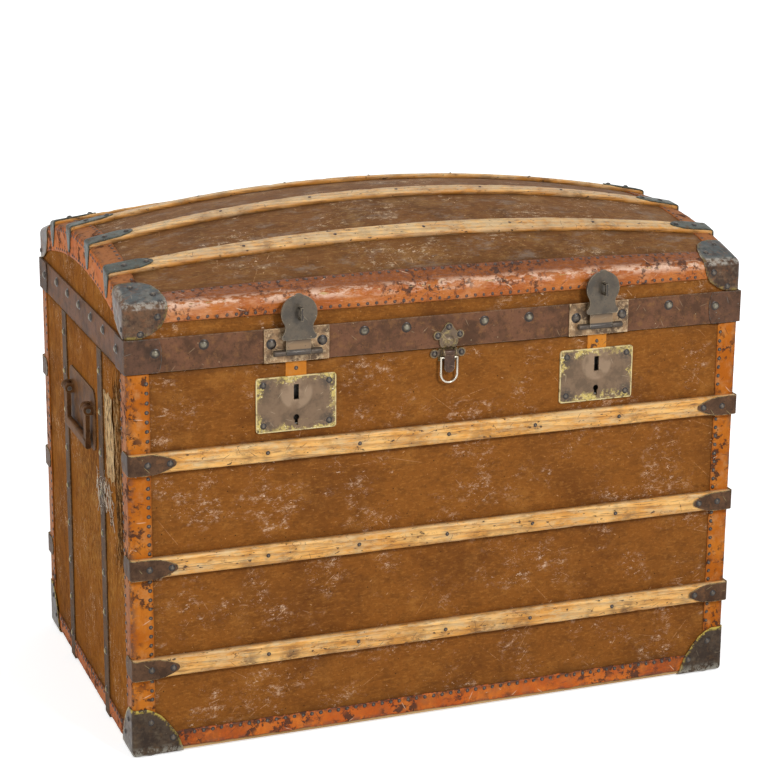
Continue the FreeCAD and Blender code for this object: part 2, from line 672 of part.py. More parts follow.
def lid_caps():
    """Three sided iron caps on the corners of the lid."""
    out = FIBRE + IRON
    x0 = -HALF_L - out
    y0 = -HALF_D - out
    low = EDGE_Z - 40
    reach_x = -HALF_L + 54
    reach_y = -HALF_D + 54
    block = under_dome(x0, reach_x, y0, reach_y, out, low)
    hollow = under_dome(x0 + IRON, reach_x + 1, y0 + IRON, reach_y + 1, out - IRON, low - 1)
    shell = block.cut(hollow)
    top = EDGE_Z + 60
    front_outline = prism([V(x0, y0, low), V(x0 + 22, y0, low),
                           (V(reach_x - 9, y0, low + 14), V(reach_x, y0, low + 37)),
                           V(reach_x, y0, top), V(x0, y0, top)], V(0, 80, 0))
    end_outline = prism([V(x0, y0, low), V(x0, y0 + 10, low),
                         (V(x0, reach_y - 11, low + 16), V(x0, reach_y, low + 42)),
                         V(x0, reach_y, top), V(x0, y0, top)], V(80, 0, 0))
    plan = prism([V(x0, y0, low), V(reach_x, y0, low), V(reach_x, y0 + 14, low),
                  (V(reach_x - 11, reach_y - 13, low), V(reach_x - 34, reach_y, low)),
                  V(x0, reach_y, low)], V(0, 0, 200))
    cap = shell.common(front_outline).common(end_outline).common(plan)
    return {"lid_caps": four_corners(cap.Solids)}


def lid_band():
    z0 = LID_BOTTOM
    z1 = LID_BOTTOM + BAND_HEIGHT
    front = box(-HALF_L - BAND, HALF_L + BAND, -HALF_D - BAND, -HALF_D, z0, z1)
    end = box(-HALF_L - BAND, -HALF_L, -HALF_D, HALF_D, z0, z1)
    return {"lid_band": [front, mirror_y(front)] + both_ends([end])}


def band_corner():
    """An angle of sheet iron with rounded ends over each corner of the band."""
    x0 = -HALF_L - BAND - IRON
    y0 = -HALF_D - BAND - IRON
    z0 = LID_BOTTOM
    z1 = LID_BOTTOM + BAND_HEIGHT
    middle = (z0 + z1) / 2
    reach_x = -HALF_L + 45
    reach_y = -HALF_D + 45
    front = prism([V(x0, y0, z0), V(reach_x - 4, y0, z0), (V(reach_x, y0, middle), V(reach_x - 4, y0, z1)),
                   V(x0, y0, z1)], V(0, IRON, 0))
    end = prism([V(x0, y0, z0), V(x0, reach_y - 4, z0), (V(x0, reach_y, middle), V(x0, reach_y - 4, z1)),
                 V(x0, y0, z1)], V(IRON, 0, 0))
    return fuse([front, end])


BAND_RIVETS_X = (-331.0, -117.0, -59.0, 51.0, 115.0, 323.0)


def band_rivets():
    z = LID_BOTTOM + 31.5
    face = -HALF_D - BAND
    heads = [dome_head(V(x, face, z), V(0, -1, 0), 5.5, 3.5) for x in BAND_RIVETS_X]
    heads += [mirror_y(h) for h in heads]
    ends = [dome_head(V(-HALF_L - BAND, i * 70, z), V(-1, 0, 0), 5.5, 3.5) for i in (-2, -1, 0, 1, 2)]
    corner = [dome_head(V(-HALF_L + 36, face - IRON, z - 6), V(0, -1, 0), 5.2, 3.3),
              dome_head(V(-HALF_L - BAND - IRON, -HALF_D + 34, z - 6), V(-1, 0, 0), 5.2, 3.3)]
    return {"band_rivets": heads + both_ends(ends) + four_corners(corner)}


def lid_rivets():
    """Small rivets of the dome clamps, the caps, the hasp plates and the catch."""
    heads = []
    for y in DOME_SLATS_Y:
        for along in clamp_rivet_places():
            heads.append(head_on_dome(-HALF_L + along, y, DOME_SLAT_THICK + IRON, 3.6, 2.2))
    heads = both_ends(heads)
    out = FIBRE + IRON
    cap = []
    for along, down in ((18, 34), (40, 13)):
        cap.append(dome_head(V(-HALF_L + along, -HALF_D - out, EDGE_Z - down), V(0, -1, 0), 3.6, 2.2))
    for along, back in ((17, 41), (41, 20)):
        cap.append(head_on_dome(-HALF_L + along, -HALF_D + back, out, 3.6, 2.2))
    cap.append(dome_head(V(-HALF_L - out, -HALF_D + 9, EDGE_Z - 29), V(-1, 0, 0), 3.6, 2.2))
    plate_face = -HALF_D - BAND - HASP_PLATE
    for x in LOCKS_X:
        for side in (-1, 1):
            heads.append(dome_head(V(x + side * 34, plate_face, BASE + 541), V(0, -1, 0), 5.5, 2.4))
    return {"lid_rivets": heads + four_corners(cap) + latch_rivets()}


# ---- small nails -----------------------------------------------------------------------
def spaced(reach):
    """Even places NAIL_PITCH apart, from -reach to reach."""
    count = int(reach / NAIL_PITCH)
    return [i * NAIL_PITCH for i in range(-count, count + 1)]


def near(value, places, reach):
    return any(abs(value - place) < reach for place in places)


def nail(place, normal):
    return dome_head(place, normal, NAIL_RADIUS, NAIL_HEIGHT)


SLAT_NAILS_X = (-250.0, -125.0, 0.0, 125.0, 250.0)


def body_nails():
    """Nails of the corner strips, the bottom strips, the lock tabs and the slats."""
    skin = FIBRE
    slat_z = [BASE + top - SLAT_HEIGHT / 2 for top in SLAT_TOPS]
    corner = []
    middle = BASE + 290
    for step in spaced(220):
        z = middle + step
        if near(z, slat_z, 17):
            continue
        corner.append(nail(V(-HALF_L + 24.5, -HALF_D - skin, z), V(0, -1, 0)))
        corner.append(nail(V(-HALF_L - skin, -HALF_D + 24.5, z), V(-1, 0, 0)))
    front = [nail(V(x, -HALF_D - skin, BASE + 24), V(0, -1, 0)) for x in spaced(358)]
    for z in slat_z:
        front += [nail(V(x, -HALF_D - SLAT_THICK, z), V(0, -1, 0)) for x in SLAT_NAILS_X]
    end = [nail(V(-HALF_L - skin, y, BASE + 24), V(-1, 0, 0))
           for y in spaced(190) if not near(abs(y), [STRAP_Y], 15)]
    tabs = [nail(V(x, -HALF_D - skin, BODY_TOP - 9), V(0, -1, 0)) for x in LOCKS_X]
    return {"body_nails": four_corners(corner) + front + [mirror_y(n) for n in front] + both_ends(end) + tabs}


def lid_nails():
    """Nails of the strips round the lid, and of the slats on the dome."""
    skin = FIBRE
    edge = [nail(V(x, -HALF_D - skin, EDGE_Z - 18), V(0, -1, 0)) for x in spaced(370)]
    edge += [head_on_dome(x, -HALF_D + 22, skin, NAIL_RADIUS, NAIL_HEIGHT) for x in spaced(370)]
    end = []
    for y in spaced(190):
        if near(y, DOME_SLATS_Y, 17):
            continue
        end.append(head_on_dome(-HALF_L + 24.5, y, skin, NAIL_RADIUS, NAIL_HEIGHT))
        end.append(nail(V(-HALF_L - skin, y, end_arch_z(y) - 5), V(-1, 0, 0)))
        end.append(nail(V(-HALF_L - skin, y, end_arch_z(y) - 32), V(-1, 0, 0)))
    top = [head_on_dome(x, y, DOME_SLAT_THICK, NAIL_RADIUS, NAIL_HEIGHT)
           for x in SLAT_NAILS_X for y in DOME_SLATS_Y]
    return {"lid_nails": edge + [mirror_y(n) for n in edge] + both_ends(end) + top}


# ---- hasps -------------------------------------------------------------------------
HASP_PLATE = 2.5
HASP_PIN = 2.2             # radius
HASP_KNUCKLE = 3.9         # outer radius
HASP_LEAF = 3.0            # thickness of the leaf
HASP_STRAP = 1.8           # thickness of the strap that wraps the pin


def hasp_plate(x):
    """Hinge plate on the band, with a rolled ear round each end of the pin."""
    z1 = BASE + 560.5
    back = -HALF_D - BAND
    plate = box(x - 43.5, x + 43.5, back - HASP_PLATE, back, LID_BOTTOM, z1)
    z = BASE + HASP_AXIS_Z
    y = -HALF_D - HASP_AXIS_OUT
    parts = [plate, box(x - 18, x + 18, back - HASP_PLATE - 0.2, back, LID_BOTTOM, z - 5.5)]
    for side in (-1, 1):
        x0 = x + side * 17
        x1 = x + side * 32
        parts.append(rod(V(x0, y, z), V(x1 - x0, 0, 0), 3.7))
        parts.append(box(x0, x1, y, back, z - 3.7, z + 3.7))
    whole = fuse(parts)
    return whole.cut(rod(V(x - 34, y, z), V(68, 0, 0), HASP_PIN))


def hasp_pin(x):
    return rod(V(x - 33, -HALF_D - HASP_AXIS_OUT, BASE + HASP_AXIS_Z), V(66, 0, 0), HASP_PIN)


def hasp(x):
    """A raised hasp: a strap round the pin, a leaf with waist and round head, and its staple."""
    axis_z = BASE + HASP_AXIS_Z
    axis_y = -HALF_D - HASP_AXIS_OUT
    back = axis_y - 3.0
    head_z = axis_z + STAPLE_FROM_AXIS
    across = math.sqrt(24.0 ** 2 - 13 ** 2)
    foot = axis_z + 18
    outline = [V(x - 20, back, foot), (V(x - 22.3, back, foot + 1.2), V(x - 23.2, back, foot + 5.5)),
               (V(x - 18.6, back, axis_z + 32), V(x - across, back, head_z - 13)),
               (V(x - 24, back, head_z), V(x - 6, back, head_z + 22.2)),
               (V(x, back, head_z + 25), V(x + 6, back, head_z + 22.2)),
               (V(x + 24, back, head_z), V(x + across, back, head_z - 13)),
               (V(x + 18.6, back, axis_z + 32), V(x + 23.2, back, foot + 5.5)),
               (V(x + 22.3, back, foot + 1.2), V(x + 20, back, foot))]
    leaf = prism(outline, V(0, -HASP_LEAF, 0))
    knuckle = rod(V(x - 16.5, axis_y, axis_z), V(33, 0, 0), HASP_KNUCKLE)
    strap = box(x - 16.5, x + 16.5, back, back + HASP_STRAP, axis_z, axis_z + 37)
    outer = back - HASP_LEAF
    z0 = head_z - STAPLE_HEIGHT / 2
    z1 = head_z + STAPLE_HEIGHT / 2
    staple = box(x - 2, x + 2, outer - STAPLE_REACH, outer, z0, z1)
    eye = box(x - 3, x + 3, outer - STAPLE_REACH + 3, outer, z0 + 3, z1 - 3)
    whole = fuse([leaf, knuckle, strap, staple.cut(eye)])
    return whole.cut(rod(V(x - 20, axis_y, axis_z), V(40, 0, 0), HASP_PIN + 0.05))


# ---- hinges at the back ---------------------------------------------------------------
KNUCKLE = 5.0
HINGE_PIN = 3.0
HINGE_HALF = 42.0


def knuckle_web(x0, x1, toward):
    """A hinge knuckle and the web that joins it to its leaf, above (1) or below (-1) the pin."""
    z = LID_AXIS.z
    barrel = rod(V(x0, LID_AXIS.y, z), V(x1 - x0, 0, 0), KNUCKLE)
    web = box(x0, x1, HALF_D + 2.6, LID_AXIS.y, z + toward * 0.6, z + toward * KNUCKLE)
    return barrel.fuse(web)


def hinge_leaves(x):
    z = LID_AXIS.z
    thick = 2.5
    lid_y = HALF_D + BAND
    third = 2 * HINGE_HALF / 3
    gap = 0.3
    body_plate = box(x - HINGE_HALF, x + HINGE_HALF, HALF_D, HALF_D + thick, BODY_TOP - 62, BODY_TOP - 0.6)
    body_parts = [body_plate]
    for x0 in (x - HINGE_HALF, x + HINGE_HALF - third):
        body_parts.append(knuckle_web(x0 + gap, x0 + third - gap, -1))
        body_parts.append(box(x0 + gap, x0 + third - gap, HALF_D, HALF_D + 4, z - KNUCKLE, z - 1.1))
    lid_plate = box(x - HINGE_HALF, x + HINGE_HALF, lid_y, lid_y + 1.5, LID_BOTTOM + 5, LID_BOTTOM + BAND_HEIGHT)
    middle = box(x - third / 2 + gap, x + third / 2 - gap, lid_y, lid_y + 2, LID_BOTTOM + 0.6, LID_BOTTOM + 6)
    web = knuckle_web(x - third / 2 + gap, x + third / 2 - gap, 1)
    bore = rod(V(x - 50, LID_AXIS.y, z), V(100, 0, 0), HINGE_PIN)
    running = rod(V(x - 50, LID_AXIS.y, z), V(100, 0, 0), HINGE_PIN + 0.05)
    clear_lid = box(x - 50, x + 50, HALF_D - 1, lid_y, LID_BOTTOM - 1, LID_BOTTOM + 90)
    body_leaf = fuse(body_parts).cut(bore)
    lid_leaf = fuse([lid_plate, middle, web]).cut(running).cut(clear_lid)
    return body_leaf, lid_leaf


def hinge_pin(x):
    return rod(V(x - HINGE_HALF, LID_AXIS.y, LID_AXIS.z), V(2 * HINGE_HALF, 0, 0), HINGE_PIN)


# ---- folding stays ---------------------------------------------------------------------
STAY_THICK = 2.5
STAY_HALF_WIDTH = 7.0
STAY_STUD = 3.0            # radius
STOP_LUG = 3.5             # radius of the lug that the upper arm meets when the lid is open
STOP_OUT = 17.0            # lug from the elbow


def around_hinge(angle):
    """A point STAY_ARM from the lid hinge; the angle is up from the way to the front."""
    turn = math.radians(angle)
    return LID_AXIS + V(0, -math.cos(turn), math.sin(turn)) * STAY_ARM


def stay_points():
    on_body = around_hinge(-STAY_BELOW)
    on_lid = around_hinge(STAY_ABOVE)
    elbow = on_body + on_lid - LID_AXIS
    return on_body, on_lid, elbow


def flat_bar(start, end, x0, x1, half, hole_start, hole_end):
    """A round ended bar between two pivots, from x0 to x1."""
    thick = V(x1 - x0, 0, 0)
    start = V(x0, start.y, start.z)
    end = V(x0, end.y, end.z)
    along = end - start
    length = along.Length
    along.normalize()
    side = V(0, -along.z, along.y) * half
    strip = prism([start + side, end + side, end - side, start - side], thick)
    bar = fuse([strip, rod(start, thick, half), rod(end, thick, half)])
    if hole_start:
        bar = bar.cut(rod(start - thick, thick * 3, hole_start))
    if hole_end:
        bar = bar.cut(rod(start + along * length - thick, thick * 3, hole_end))
    return bar


def stay():
    """Lower arm from the body to the elbow, upper arm from the elbow to the lid."""
    on_body, on_lid, elbow = stay_points()
    wall = -HALF_L + FACE
    x_low = wall + 5.0
    x_up = x_low + STAY_THICK + 0.5
    lower = flat_bar(elbow, on_body, x_low, x_low + STAY_THICK, STAY_HALF_WIDTH, 0, STAY_STUD + 0.2)
    upper = flat_bar(elbow, on_lid, x_up, x_up + STAY_THICK, STAY_HALF_WIDTH, STAY_STUD + 0.05, STAY_STUD + 0.05)
    rivet = rod(V(x_low, elbow.y, elbow.z), V(2 * STAY_THICK + 2.5, 0, 0), STAY_STUD)
    down = on_body - elbow
    rests = math.degrees(math.asin((STAY_HALF_WIDTH + STOP_LUG) / STOP_OUT)) + 1
    stop_turn = math.radians(LID_OPENS + STAY_ABOVE + STAY_BELOW + rests)
    away = V(0, down.y * math.cos(stop_turn) - down.z * math.sin(stop_turn),
             down.y * math.sin(stop_turn) + down.z * math.cos(stop_turn))
    away.normalize()
    lug_place = elbow + away * STOP_OUT
    horn = flat_bar(elbow, lug_place, x_low, x_low + STAY_THICK, 4.0, 0, 0)
    lug = rod(V(x_low, lug_place.y, lug_place.z), V(2 * STAY_THICK + 0.5, 0, 0), STOP_LUG)
    lower = fuse([lower, horn, lug, rivet])
    return lower, upper


def stay_studs():
    """Studs on the inside of the end walls, each with a round foot plate and a head."""
    on_body, on_lid, _ = stay_points()
    wall = -HALF_L + INNER
    face = -HALF_L + FACE
    x_low = face + 5.0
    x_up = x_low + STAY_THICK + 0.5
    studs = []
    for place, x_arm in ((on_body, x_low), (on_lid, x_up)):
        foot = rod(V(face, place.y, place.z), V(1.5, 0, 0), 10)
        shank = rod(V(wall, place.y, place.z), V(x_arm + STAY_THICK + 0.3 - wall, 0, 0), STAY_STUD)
        head = rod(V(x_arm + STAY_THICK + 0.3, place.y, place.z), V(1.5, 0, 0), 5)
        collar = rod(V(face, place.y, place.z), V(x_arm - 0.4 - face, 0, 0), 5)
        studs.append(fuse([foot, shank, head, collar]))
    return studs


def lining_holes(shape, stud):
    return shape.cut(stud).cut(mirror_x(stud))


# ---- writing the parts -------------------------------------------------------------------
def save(name, solids):
    for solid in solids:
        if not solid.isValid():
            print("NOT VALID:", name)
    whole = solids[0] if len(solids) == 1 else Part.makeCompound(solids)
    whole = whole.copy()
    whole.translate(V(0, CENTRE_Y, 0))
    whole.exportStep("parts/" + name + ".step")
    return whole.optimalBoundingBox(False, False)


def make_nodes():
    nodes = {}
    nodes.update(body_boards())
    nodes.update(body_canvas())
    nodes.update(body_lining())
    nodes.update(body_rim())
    nodes.update(corner_fibre())
    nodes.update(side_straps())
    nodes.update(bottom_fibre(nodes["side_straps"]))
    nodes.update(slats(nodes["corner_fibre"]))
    nodes.update(slat_clamps())
    nodes.update(bottom_caps())
    nodes.update(glides())
    nodes.update(body_rivets())
    nodes.update(lock_plates())
    nodes.update(lock_cases())
    nodes["left_bolt"] = [bolt(LOCKS_X[0])]
    nodes["right_bolt"] = [bolt(LOCKS_X[1])]
    nodes.update(lock_tabs())
    nodes["handle_plates"] = both_ends([handle_plate()])
    nodes["handle_pins"] = both_ends([handle_pin(-HANDLE_ARM_Y), handle_pin(HANDLE_ARM_Y)])
    nodes["left_handle"] = [handle()]
    nodes["right_handle"] = [mirror_x(handle())]
    nodes["latch_base"] = [latch_base()]
    nodes["latch_pin"] = [latch_pin()]
    nodes["latch_lever"] = [latch_lever()]
    nodes["latch_bail"] = [latch_bail()]
    nodes["latch_catch"] = [latch_catch()]
    nodes.update(lid_boards())
    nodes.update(lid_canvas())
    nodes.update(lid_lining())
    nodes.update(lid_edge_fibre())
    nodes.update(lid_end_fibre())
    nodes.update(lid_slats(nodes["lid_end_fibre"]))
    nodes.update(lid_slat_clamps())
    nodes.update(lid_caps())
    nodes.update(lid_band())
    nodes["band_corners"] = four_corners([band_corner()])
    nodes.update(band_rivets())
    nodes.update(lid_rivets())
    nodes.update(body_nails())
    nodes.update(lid_nails())
    nodes["hasp_plates"] = [hasp_plate(x) for x in LOCKS_X]
    nodes["hasp_pins"] = [hasp_pin(x) for x in LOCKS_X]
    nodes["left_hasp"] = [hasp(LOCKS_X[0])]
    nodes["right_hasp"] = [hasp(LOCKS_X[1])]
    leaves = [hinge_leaves(x) for x in (-LID_HINGE_X, LID_HINGE_X)]
    nodes["hinge_body_leaves"] = [pair[0] for pair in leaves]
    nodes["hinge_lid_leaves"] = [pair[1] for pair in leaves]
    nodes["hinge_pins"] = [hinge_pin(x) for x in (-LID_HINGE_X, LID_HINGE_X)]
    lower, upper = stay()
    nodes["left_stay_lower"] = [lower]
    nodes["left_stay_upper"] = [upper]
    nodes["right_stay_lower"] = [mirror_x(lower)]
    nodes["right_stay_upper"] = [mirror_x(upper)]
    body_stud, lid_stud = stay_studs()
    nodes["stay_body_studs"] = both_ends([body_stud])
    nodes["stay_lid_studs"] = both_ends([lid_stud])
    nodes["body_rim"] = [lining_holes(strip, body_stud) for strip in nodes["body_rim"]]
    nodes["body_lining"] = [lining_holes(nodes["body_lining"][0], body_stud)]
    nodes["lid_lining"] = [lining_holes(nodes["lid_lining"][0], lid_stud)]
    return nodes


def main():
    os.makedirs("parts", exist_ok=True)
    nodes = make_nodes()
    whole = FreeCAD.BoundBox()
    for name, solids in nodes.items():
        whole.add(save(name, solids))
    print(len(nodes), "nodes")
    print("box", [round(v, 2) for v in (whole.XMin, whole.YMin, whole.ZMin, whole.XMax, whole.YMax, whole.ZMax)])
    print("lid axis", round(LID_AXIS.y + CENTRE_Y, 3), round(LID_AXIS.z, 3))
    for label, point in zip(("stay on body", "stay on lid", "stay elbow"), stay_points()):
        print(label, round(point.y + CENTRE_Y, 3), round(point.z, 3))


main()
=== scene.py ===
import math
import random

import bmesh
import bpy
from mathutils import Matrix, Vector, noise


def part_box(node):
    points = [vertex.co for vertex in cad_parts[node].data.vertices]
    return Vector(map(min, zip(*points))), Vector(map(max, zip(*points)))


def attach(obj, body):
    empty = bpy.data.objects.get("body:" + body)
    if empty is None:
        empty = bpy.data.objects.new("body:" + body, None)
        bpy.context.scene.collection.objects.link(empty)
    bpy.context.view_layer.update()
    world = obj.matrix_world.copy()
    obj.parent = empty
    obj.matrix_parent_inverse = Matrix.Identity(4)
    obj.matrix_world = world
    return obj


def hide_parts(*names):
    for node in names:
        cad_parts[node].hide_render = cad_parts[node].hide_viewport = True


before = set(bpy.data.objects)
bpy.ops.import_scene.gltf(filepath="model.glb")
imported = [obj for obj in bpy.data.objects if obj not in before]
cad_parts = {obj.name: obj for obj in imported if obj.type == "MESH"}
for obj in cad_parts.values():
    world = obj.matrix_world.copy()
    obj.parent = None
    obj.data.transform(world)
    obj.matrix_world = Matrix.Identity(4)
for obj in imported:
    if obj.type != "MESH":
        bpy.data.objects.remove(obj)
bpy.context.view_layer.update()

# %% [markdown]
# # A dome top trunk
# The frame holds the exact solids of the trunk, each at its place, in metres. This lesson dresses
# them: thin skins such as canvas and fibre are folded anew with more points, wooden slats and
# corner caps are shaped from simple blocks, and the small hardware keeps its exact shape and gets
# softened edges. The numbers below are in millimetres, because the real piece was made that way,
# and one matrix turns them into the frame's metres when a piece is finished.

canvas_low, canvas_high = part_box("body_canvas")
HALF_L = (canvas_high[0] - canvas_low[0]) * 500
HALF_D = (canvas_high[1] - canvas_low[1]) * 500
BASE = canvas_low[2] * 1000
BODY_TOP = canvas_high[2] * 1000
LID_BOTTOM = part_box("lid_canvas")[0][2] * 1000
BAND_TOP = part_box("lid_band")[1][2] * 1000
LID_WALL = 85.0
EDGE_Z = LID_BOTTOM + LID_WALL
RISE_END = 39.0
RISE_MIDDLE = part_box("lid_canvas")[1][2] * 1000 - EDGE_Z
MIDDLE_Y = (canvas_low[1] + canvas_high[1]) / 2
TO_FRAME = Matrix.Translation((0, MIDDLE_Y, 0)) @ Matrix.Scale(0.001, 4)
FRONT_Y = MIDDLE_Y * 1000 - HALF_D
SKIN_LOW = BASE + 5
FIBRE_THICK = 1.5
FIBRE_LEG = 28
STRIP_END = 27
FOOT_WIDE = 23
FOOT_TOP = SKIN_LOW + FOOT_WIDE
SLAT_MIDDLES = [BASE + z for z in (399.0, 259.5, 122.5)]
SLAT_WIDE = 26.0
SLAT_THICK = 10.5
DOME_SLATS_Y = (-160.0, -55.0, 55.0, 160.0)
DOME_SLAT_WIDE = 22.0
DOME_SLAT_THICK = 6.5
STRAP_Y = 106.0
LOCKS_MIDDLE = 4.0
LOCKS_APART = 213.0
LOCK_Z = BASE + 459.5
LOCK_HALF_LENGTH = 54.0
LOCK_HALF_HEIGHT = 36.5
LOCK_SCREW = (44.5, 27.0, 0.0)
SLOT_Z = BASE + 475.8
HASP_AXIS_Z = BASE + 528.8
STAPLE_REACH = 12.0
HASP_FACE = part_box("left_hasp")[0][1] * 1000 + STAPLE_REACH
print("half length, half depth, dome rise:", HALF_L, HALF_D, round(RISE_MIDDLE, 1))

# %% [markdown]
# ## Camera
# A long lens from the front left and a little above. A long lens keeps the verticals nearly
# parallel, and the small shift frames the trunk without turning the camera.

# %% Camera
camera_data = bpy.data.cameras.new("camera")
camera_data.sensor_width = 36.0
camera_data.lens = 98.887
camera_data.shift_x = -0.0252
camera_data.shift_y = -0.0739
camera_data.clip_end = 50.0
camera = bpy.data.objects.new("camera", camera_data)
camera.location = (-1.03286, -2.76385 + MIDDLE_Y, 1.24166 + BASE / 1000)
camera.rotation_euler = [math.radians(a) for a in (75.4012, -0.6716, -21.114)]
bpy.context.scene.collection.objects.link(camera)
bpy.context.scene.camera = camera
print("camera at", [round(v, 3) for v in camera.location])

# %% [markdown]
# ## A small language for finishes
# Real colours are picked as sRGB hex values, and light adds up in linear numbers, so one function
# turns the first into the second. Another adds a node with its settings and links. Patterns are
# measured in millimetres on the object itself, so a weave or a grain keeps its true size.

# %% Colours and nodes
def linear(hex_colour):
    """An sRGB hex colour as linear red, green, blue and alpha."""
    values = [int(hex_colour[i:i + 2], 16) / 255 for i in (1, 3, 5)]
    return [v / 12.92 if v <= 0.04045 else ((v + 0.055) / 1.055) ** 2.4 for v in values] + [1.0]


def add(tree, kind, inputs=None, **settings):
    """Adds one node; an input is a plain value or another node's output."""
    made = tree.nodes.new(kind)
    for key, value in settings.items():
        setattr(made, key, value)
    for key, value in (inputs or {}).items():
        if isinstance(value, bpy.types.NodeSocket):
            tree.links.new(value, made.inputs[key])
        else:
            made.inputs[key].default_value = value
    return made


# %% Starting a finish
def start_finish(name, roughness, metallic=0.0, ior=1.5, sheen=0.0, shine=0.5):
    """A material with an empty Principled shader, and object coordinates in millimetres."""
    material = bpy.data.materials.new(name)
    material.use_nodes = True
    tree = material.node_tree
    tree.nodes.clear()
    shader = add(tree, "ShaderNodeBsdfPrincipled", {
        "Roughness": roughness, "Metallic": metallic, "IOR": ior, "Sheen Weight": sheen,
        "Specular IOR Level": shine})
    add(tree, "ShaderNodeOutputMaterial", {"Surface": shader.outputs[0]})
    coords = add(tree, "ShaderNodeTexCoord")
    place = add(tree, "ShaderNodeVectorMath", {0: coords.outputs["Object"], "Scale": 1000.0},
                operation="SCALE").outputs[0]
    return material, tree, shader, place


# %% Values to build masks from
def stored(tree, name):
    """A value that the mesh stores at its points, such as grime and shade, or fold."""
    return add(tree, "ShaderNodeAttribute", attribute_name=name).outputs["Fac"]


def axis(tree, vector, number):
    """One number of a vector: 0 runs along the trunk, 1 from front to back, 2 upwards."""
    return add(tree, "ShaderNodeSeparateXYZ", {0: vector}).outputs[number]


def maths(tree, operation, *values):
    """One step of arithmetic on numbers or other outputs."""
    return add(tree, "ShaderNodeMath", dict(enumerate(values)), operation=operation).outputs[0]


def apart(tree, value, middle):
    """How far a value lies from a middle, on either side."""
    return maths(tree, "ABSOLUTE", maths(tree, "SUBTRACT", value, middle))


def vector_maths(tree, operation, *values):
    """One step of arithmetic on vectors; some operations give a plain number."""
    made = add(tree, "ShaderNodeVectorMath", dict(enumerate(values)), operation=operation)
    return made.outputs["Value" if operation in ("DOT_PRODUCT", "DISTANCE", "LENGTH") else 0]


def ramp(tree, value, start, end, amount=1.0, **settings):
    """0 where the value is at start, amount where it is at end, and a slope between them."""
    return add(tree, "ShaderNodeMapRange", {"Value": value, "From Min": start, "From Max": end,
                                            "To Max": amount}, **settings).outputs[0]


def waves(tree, vector, spacing, bands, distortion=0.0, detail=2.0, detail_scale=1.0, rough=0.5, **settings):
    """Ripples that repeat every spacing mm along one axis.

    In one unit the node makes 3.2 straight ripples, and half as many diagonal ones.
    """
    in_one_unit = 1.6 if bands == "DIAGONAL" else 3.2
    return add(tree, "ShaderNodeTexWave", {
        "Vector": vector, "Scale": 1 / spacing / in_one_unit, "Distortion": distortion, "Detail": detail,
        "Detail Scale": detail_scale, "Detail Roughness": rough},
        bands_direction=bands, **settings).outputs[1]


# %% Patches, scratches and flecks
def overlap(tree, first, second):
    """A mask that is on where both masks are on."""
    if second is None:
        return first
    return maths(tree, "MULTIPLY", first, second)


def patches(tree, place, size, low, high, amount=1.0, stretch=(1, 1, 1), shift=0.0, detail=4.0, rough=0.55,
            within=None):
    """Soft patches of about that size in mm, 0 where the noise is under low and amount over high."""
    moved = vector_maths(tree, "MULTIPLY_ADD", place, stretch, (shift, shift * 0.7, shift * 1.3))
    cloud = add(tree, "ShaderNodeTexNoise", {"Vector": moved, "Scale": 1 / size, "Detail": detail,
                                             "Roughness": rough})
    mask = ramp(tree, cloud.outputs[0], low, high, amount, interpolation_type="SMOOTHSTEP")
    return overlap(tree, mask, within)


def cells(tree, place, spacing, share, shift):
    """Loose cells of that spacing: their points, random colours, and whether each is kept."""
    moved = vector_maths(tree, "ADD", place, (shift, shift, shift))
    found = add(tree, "ShaderNodeTexVoronoi", {"Vector": moved, "Scale": 1 / spacing})
    kept = maths(tree, "LESS_THAN", axis(tree, found.outputs["Color"], 2), share)
    return moved, found, kept


def scratches(tree, place, spacing, length, width, share, amount=1.0, shift=0.0, within=None):
    """Thin straight scratches that lie in the surface, one in some cells of that spacing."""
    moved, found, kept = cells(tree, place, spacing, share, shift)
    away = vector_maths(tree, "SUBTRACT", moved, found.outputs["Position"])
    lean = vector_maths(tree, "SUBTRACT", found.outputs["Color"], (0.5, 0.5, 0.5))
    out = add(tree, "ShaderNodeTexCoord").outputs["Normal"]
    along = vector_maths(tree, "NORMALIZE", vector_maths(tree, "CROSS_PRODUCT", out, lean))
    aside = vector_maths(tree, "CROSS_PRODUCT", out, along)
    mask = kept
    for direction, reach, strength in ((along, length / 2, amount), (aside, width / 2, 1.0)):
        far = maths(tree, "ABSOLUTE", vector_maths(tree, "DOT_PRODUCT", away, direction))
        mask = overlap(tree, mask, ramp(tree, far, reach, reach * 0.4, strength))
    return overlap(tree, mask, within)


def flecks(tree, place, spacing, radius, share, shift=0.0, within=None):
    """Small round flecks, one in some cells of that spacing."""
    _, found, kept = cells(tree, place, spacing, share, shift)
    dot = ramp(tree, found.outputs["Distance"], radius / spacing, 0.5 * radius / spacing)
    return overlap(tree, overlap(tree, dot, kept), within)


# %% Layers of colour, relief and gloss
def layered(tree, base_hex, layers):
    """Lays colours over the base, each where its mask is on, and returns the result."""
    colour = add(tree, "ShaderNodeRGB").outputs[0]
    colour.default_value = linear(base_hex)
    for mask, over_hex in layers:
        mixed = add(tree, "ShaderNodeMix", {0: mask, 6: colour, 7: linear(over_hex)}, data_type="RGBA")
        colour = mixed.outputs[2]
    return colour


def raise_relief(tree, shader, reliefs):
    """Bumps the surface by each pattern, with its depth in mm."""
    normal = None
    for pattern, depth in reliefs:
        inputs = {"Height": pattern, "Distance": abs(depth) / 1000, "Strength": 1.0}
        if normal is not None:
            inputs["Normal"] = normal
        normal = add(tree, "ShaderNodeBump", inputs, invert=depth < 0).outputs[0]
    tree.links.new(normal, shader.inputs["Normal"])


def vary_gloss(tree, shader, mask, smooth, rough):
    """Roughness goes from smooth, where the mask is 0, to rough, where it is 1."""
    value = add(tree, "ShaderNodeMapRange", {"Value": mask, "To Min": smooth, "To Max": rough}).outputs[0]
    tree.links.new(value, shader.inputs["Roughness"])


